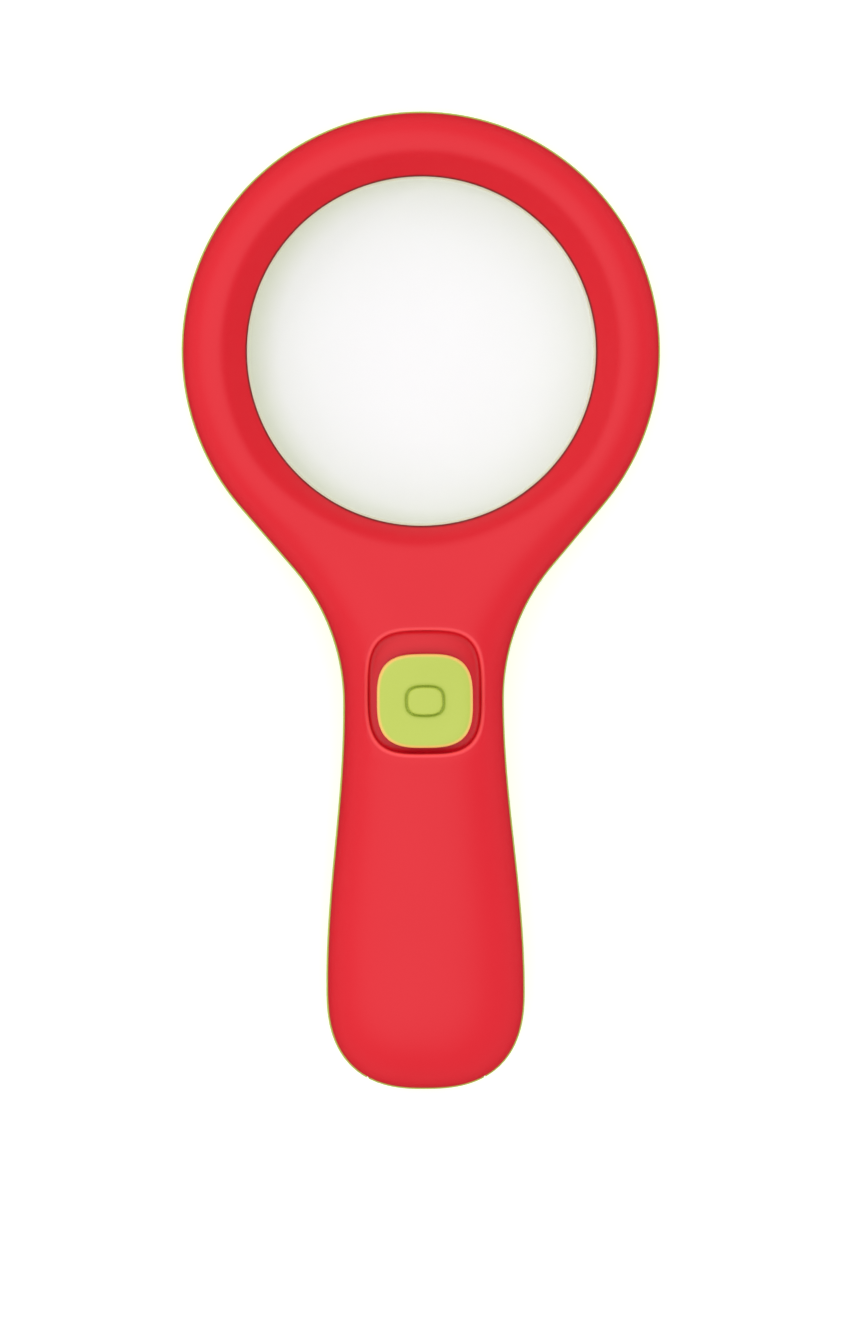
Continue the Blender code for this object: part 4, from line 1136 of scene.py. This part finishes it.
def thumb_pad(finish):
    """Sliding pad: rounded edge, dished face and a grooved nub, with its stem below."""
    middle = (pad_low.y + pad_high.y) / 2
    base, top = POCKET_Z + GAP, POCKET_Z + GAP + PAD_THICKNESS
    outline = superellipse(PAD_X, PAD_Y, PAD_POWER, PAD_POINTS)
    stem = superellipse(STEM_X, STEM_Y, PAD_POWER, PAD_POINTS)
    nub = superellipse(NUB_X, NUB_Y, NUB_POWER, PAD_POINTS)
    loops = []

    def level(points, z_at):
        loops.append([(x, middle + y, z_at(x)) for x, y in points])

    def underside(lift):
        return lambda x: base - crown_sag(x) + lift

    def face(fall):
        return lambda x: top - crown_sag(x) - fall

    for share in (0.4, 1.0):
        level(superellipse(STEM_X * share, STEM_Y * share, PAD_POWER, PAD_POINTS),
              lambda x: pad_low.z)
    for share in (0, 0.35, 0.7, 1.0):
        level(blend(stem, shrunk(outline, PAD_BEVEL), share), underside(0))
    level(outline, underside(PAD_BEVEL))
    for step in range(9):
        turn = math.pi / 2 * step / 8
        level(shrunk(outline, PAD_ROUND * (1 - math.cos(turn))),
              face(PAD_ROUND * (1 - math.sin(turn))))
    for step in range(1, 11):
        share = step / 10
        level(blend(shrunk(outline, PAD_ROUND), enlarged(nub, NUB_SURROUND), share),
              face(PAD_DISH * smooth(0, 0.9, share)))
    for scale, fall in NUB_PROFILE:
        level(enlarged(nub, scale), face(fall))
    bm = stack(loops)

    # painted highlight line along the top of the pad's rounded rim
    def pad_highlight_share(place):
        inside = (1 - reach(place.x / PAD_X, (place.y - middle) / PAD_Y, PAD_POWER)) * PAD_X
        above = place.z - (top - crown_sag(place.x) - PAD_ROUND)
        return (1 - smooth(0.0002, 0.0007, inside)) * smooth(-0.0003, 0.0001, above)
    mark(bm, "worn_edge", pad_highlight_share)

    # painted shade in the groove round the nub and low on the pad's sides, near the pocket floor
    def pad_shade_share(place):
        off = reach(place.x / NUB_X, (place.y - middle) / NUB_Y, NUB_POWER)
        near = smooth(0.98, 1.04, off) * (1 - smooth(1.08, 1.28, off))
        under = 1 - smooth(0.0008, 0.0013, place.z - (base - crown_sag(place.x)))
        return max(0.45 * near, 0.8 * under)
    mark(bm, "groove", pad_shade_share)
    return piece("thumb_pad", bm, finish, SWITCH_BODY, ["slide_button"], 60)


def dress(finishes):
    """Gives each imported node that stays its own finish."""
    for name, material in finishes.items():
        for slot in frame["nodes"][name].material_slots:
            slot.material = material


# Floor, light and camera

FLOOR_HALF = 3.0
PAPER = ((0.90, 0.90, 0.90), (0.93, 0.93, 0.93))
WHITE = (1, 1, 1)
FLOOR_GLOW = 0.28
ROOM_LIGHT = 0.97
PANEL_PLACE = (-0.6, 0.45, 2.5)
PANEL_SIDE = 6.5
CAMERA_AIM = (-0.0004, -0.0112, 0.012)
CAMERA_LEAN = (-0.022, 0.034, 1)  # up, a little towards the left and the head
CAMERA_AWAY = 2.0
CAMERA_ROLL = math.radians(0.42)
FIELD_HEIGHT = 0.2508  # what the view spans at the aim
SENSOR = 36.0


def stage_and_light():
    """White paper floor, even light from all round, and one wide panel overhead."""
    bm = bmesh.new()
    bmesh.ops.create_grid(bm, x_segments=1, y_segments=1, size=FLOOR_HALF)
    mesh = bpy.data.meshes.new("floor")
    bm.to_mesh(mesh)
    bm.free()
    floor = bpy.data.objects.new("floor", mesh)
    bpy.context.scene.collection.objects.link(floor)
    paper = Finish("pale_floor", Specular_IOR_Level=0.1)
    paper.set(Base_Color=paper.shades(*PAPER, paper.noise(0.02, 3.0)), Roughness=0.9,
              Emission_Color=WHITE, Emission_Strength=FLOOR_GLOW)
    mesh.materials.append(paper.material)
    floor.visible_glossy = False
    surround_light()
    softbox("overhead_panel", 0.37)
    softbox("overhead_shine", 0.45).visible_diffuse = False


def surround_light():
    """Even light from all round; the eye and clear plastic see it as a white studio."""
    world = bpy.data.worlds.new("studio")
    world.use_nodes = True
    studio = Nodes(world.node_tree)
    background = studio.tree.nodes["Background"]
    studio.plug(background.inputs["Color"], WHITE)
    studio.plug(background.inputs["Strength"], ROOM_LIGHT)
    even = Wire(studio, background.outputs[0])
    white = studio.node("ShaderNodeBackground", None, {"Color": WHITE})
    eye = studio.node("ShaderNodeLightPath", out="Is Camera Ray")
    through = studio.node("ShaderNodeLightPath", out="Is Transmission Ray")
    both = studio.node("ShaderNodeMixShader", None, {0: eye.at_least(through), 1: even, 2: white})
    studio.plug(studio.tree.nodes["World Output"].inputs["Surface"], both)
    world.cycles_visibility.glossy = False
    bpy.context.scene.world = world


def softbox(name, brightness):
    """The square panel overhead, or its shine alone."""
    light = bpy.data.lights.new(name, "AREA")
    light.shape = "SQUARE"
    light.size = PANEL_SIDE
    light.energy = brightness * math.pi * PANEL_SIDE**2
    lamp = bpy.data.objects.new(name, light)
    bpy.context.scene.collection.objects.link(lamp)
    lamp.location = PANEL_PLACE
    lamp.rotation_euler = (-Vector(PANEL_PLACE)).to_track_quat("-Z", "Y").to_euler()
    return lamp


def set_camera():
    """A long lens far above, a little towards the head and the left side."""
    camera = bpy.data.cameras.new("camera")
    camera.sensor_fit = "VERTICAL"
    camera.sensor_height = SENSOR
    camera.sensor_width = SENSOR
    camera.lens = SENSOR * CAMERA_AWAY / FIELD_HEIGHT
    camera.clip_start = 0.1
    camera.clip_end = 20
    camera.dof.use_dof = False
    obj = bpy.data.objects.new("camera", camera)
    bpy.context.scene.collection.objects.link(obj)
    view = Vector(CAMERA_LEAN).normalized()
    up = Vector((math.sin(CAMERA_ROLL), math.cos(CAMERA_ROLL), 0))
    right = up.cross(view).normalized()
    turn = Matrix((right, view.cross(right), view)).transposed().to_4x4()
    obj.matrix_world = Matrix.Translation(Vector(CAMERA_AIM) + view * CAMERA_AWAY) @ turn
    bpy.context.scene.camera = obj


def main():
    for obj in list(bpy.data.objects):
        if obj.type in ("CAMERA", "LIGHT"):
            bpy.data.objects.remove(obj)
    bpy.context.scene.view_settings.view_transform = "Standard"
    # the pale red is a painted highlight on the pocket's lip, the dark red painted shade at the
    # seam and the lens opening
    red = moulded("red_satin", (0.735, 0.0018, 0.016), (0.70, 0.0010, 0.012), 0.42,
                  edge_highlight=(0.95, 0.07, 0.085), painted_rim_shade=(0.20, 0.008, 0.006))
    # the pale orange is a painted highlight on the pad's rim, the olive painted shade round its
    # nub and low on its sides
    lime = moulded("lime_satin", (0.51, 0.595, 0.105), (0.455, 0.55, 0.068), 0.40,
                   edge_highlight=(0.90, 0.56, 0.15), painted_pad_shade=(0.24, 0.36, 0.02))
    # the second colour is painted greenish shade at the lens's edge
    clear = clear_plastic("clear_acrylic", (0.880, 0.880, 0.900), (0.70, 0.73, 0.61))
    black = moulded("black_moulding", (0.022, 0.022, 0.024), (0.012, 0.012, 0.013), 0.5)
    nickel = metal("nickel_plate", (0.80, 0.77, 0.70), (0.62, 0.58, 0.50), 0.22)
    steel = metal("zinc_plate", (0.68, 0.69, 0.72), (0.50, 0.51, 0.54), 0.28)
    front_case(red)
    blank = stand_on_seam(shell(back_height, False), -1)
    door_blank = blank.copy()
    back_case(lime, blank)
    door_panel(lime, door_blank)
    magnifying_lens(clear, soft_rubber("ground_edge", (0.86, 0.88, 0.84), (0.78, 0.80, 0.76)))
    seal_ring(soft_rubber("cream_rubber", (0.88, 0.84, 0.66), (0.78, 0.74, 0.55)))
    thumb_pad(lime)
    red_wire = moulded("red_wire", (0.62, 0.02, 0.02), (0.5, 0.01, 0.01), 0.4)
    lamp, sleeve = epoxy(), cell_finish()
    finishes = {"switch_lever": black, "battery_tray": black, "switch_body": steel,
                "circuit_board": board_finish(), "resistor": resistor_finish(),
                "led_window": clear, "lead_positive": red_wire, "lead_negative": black}
    for side in ("left", "middle", "right"):
        finishes[f"led_{side}"] = lamp
    for side in ("left", "right"):
        finishes[f"battery_{side}"] = sleeve
        finishes[f"board_screw_{side}"] = steel
    for index in range(1, 7):
        finishes[f"case_screw_{index}"] = steel
    for name in ("positive_plate", "negative_plate", "bridge_plate", "spring_front", "spring_end"):
        finishes[name] = nickel
    dress(finishes)
    stage_and_light()
    set_camera()


main()
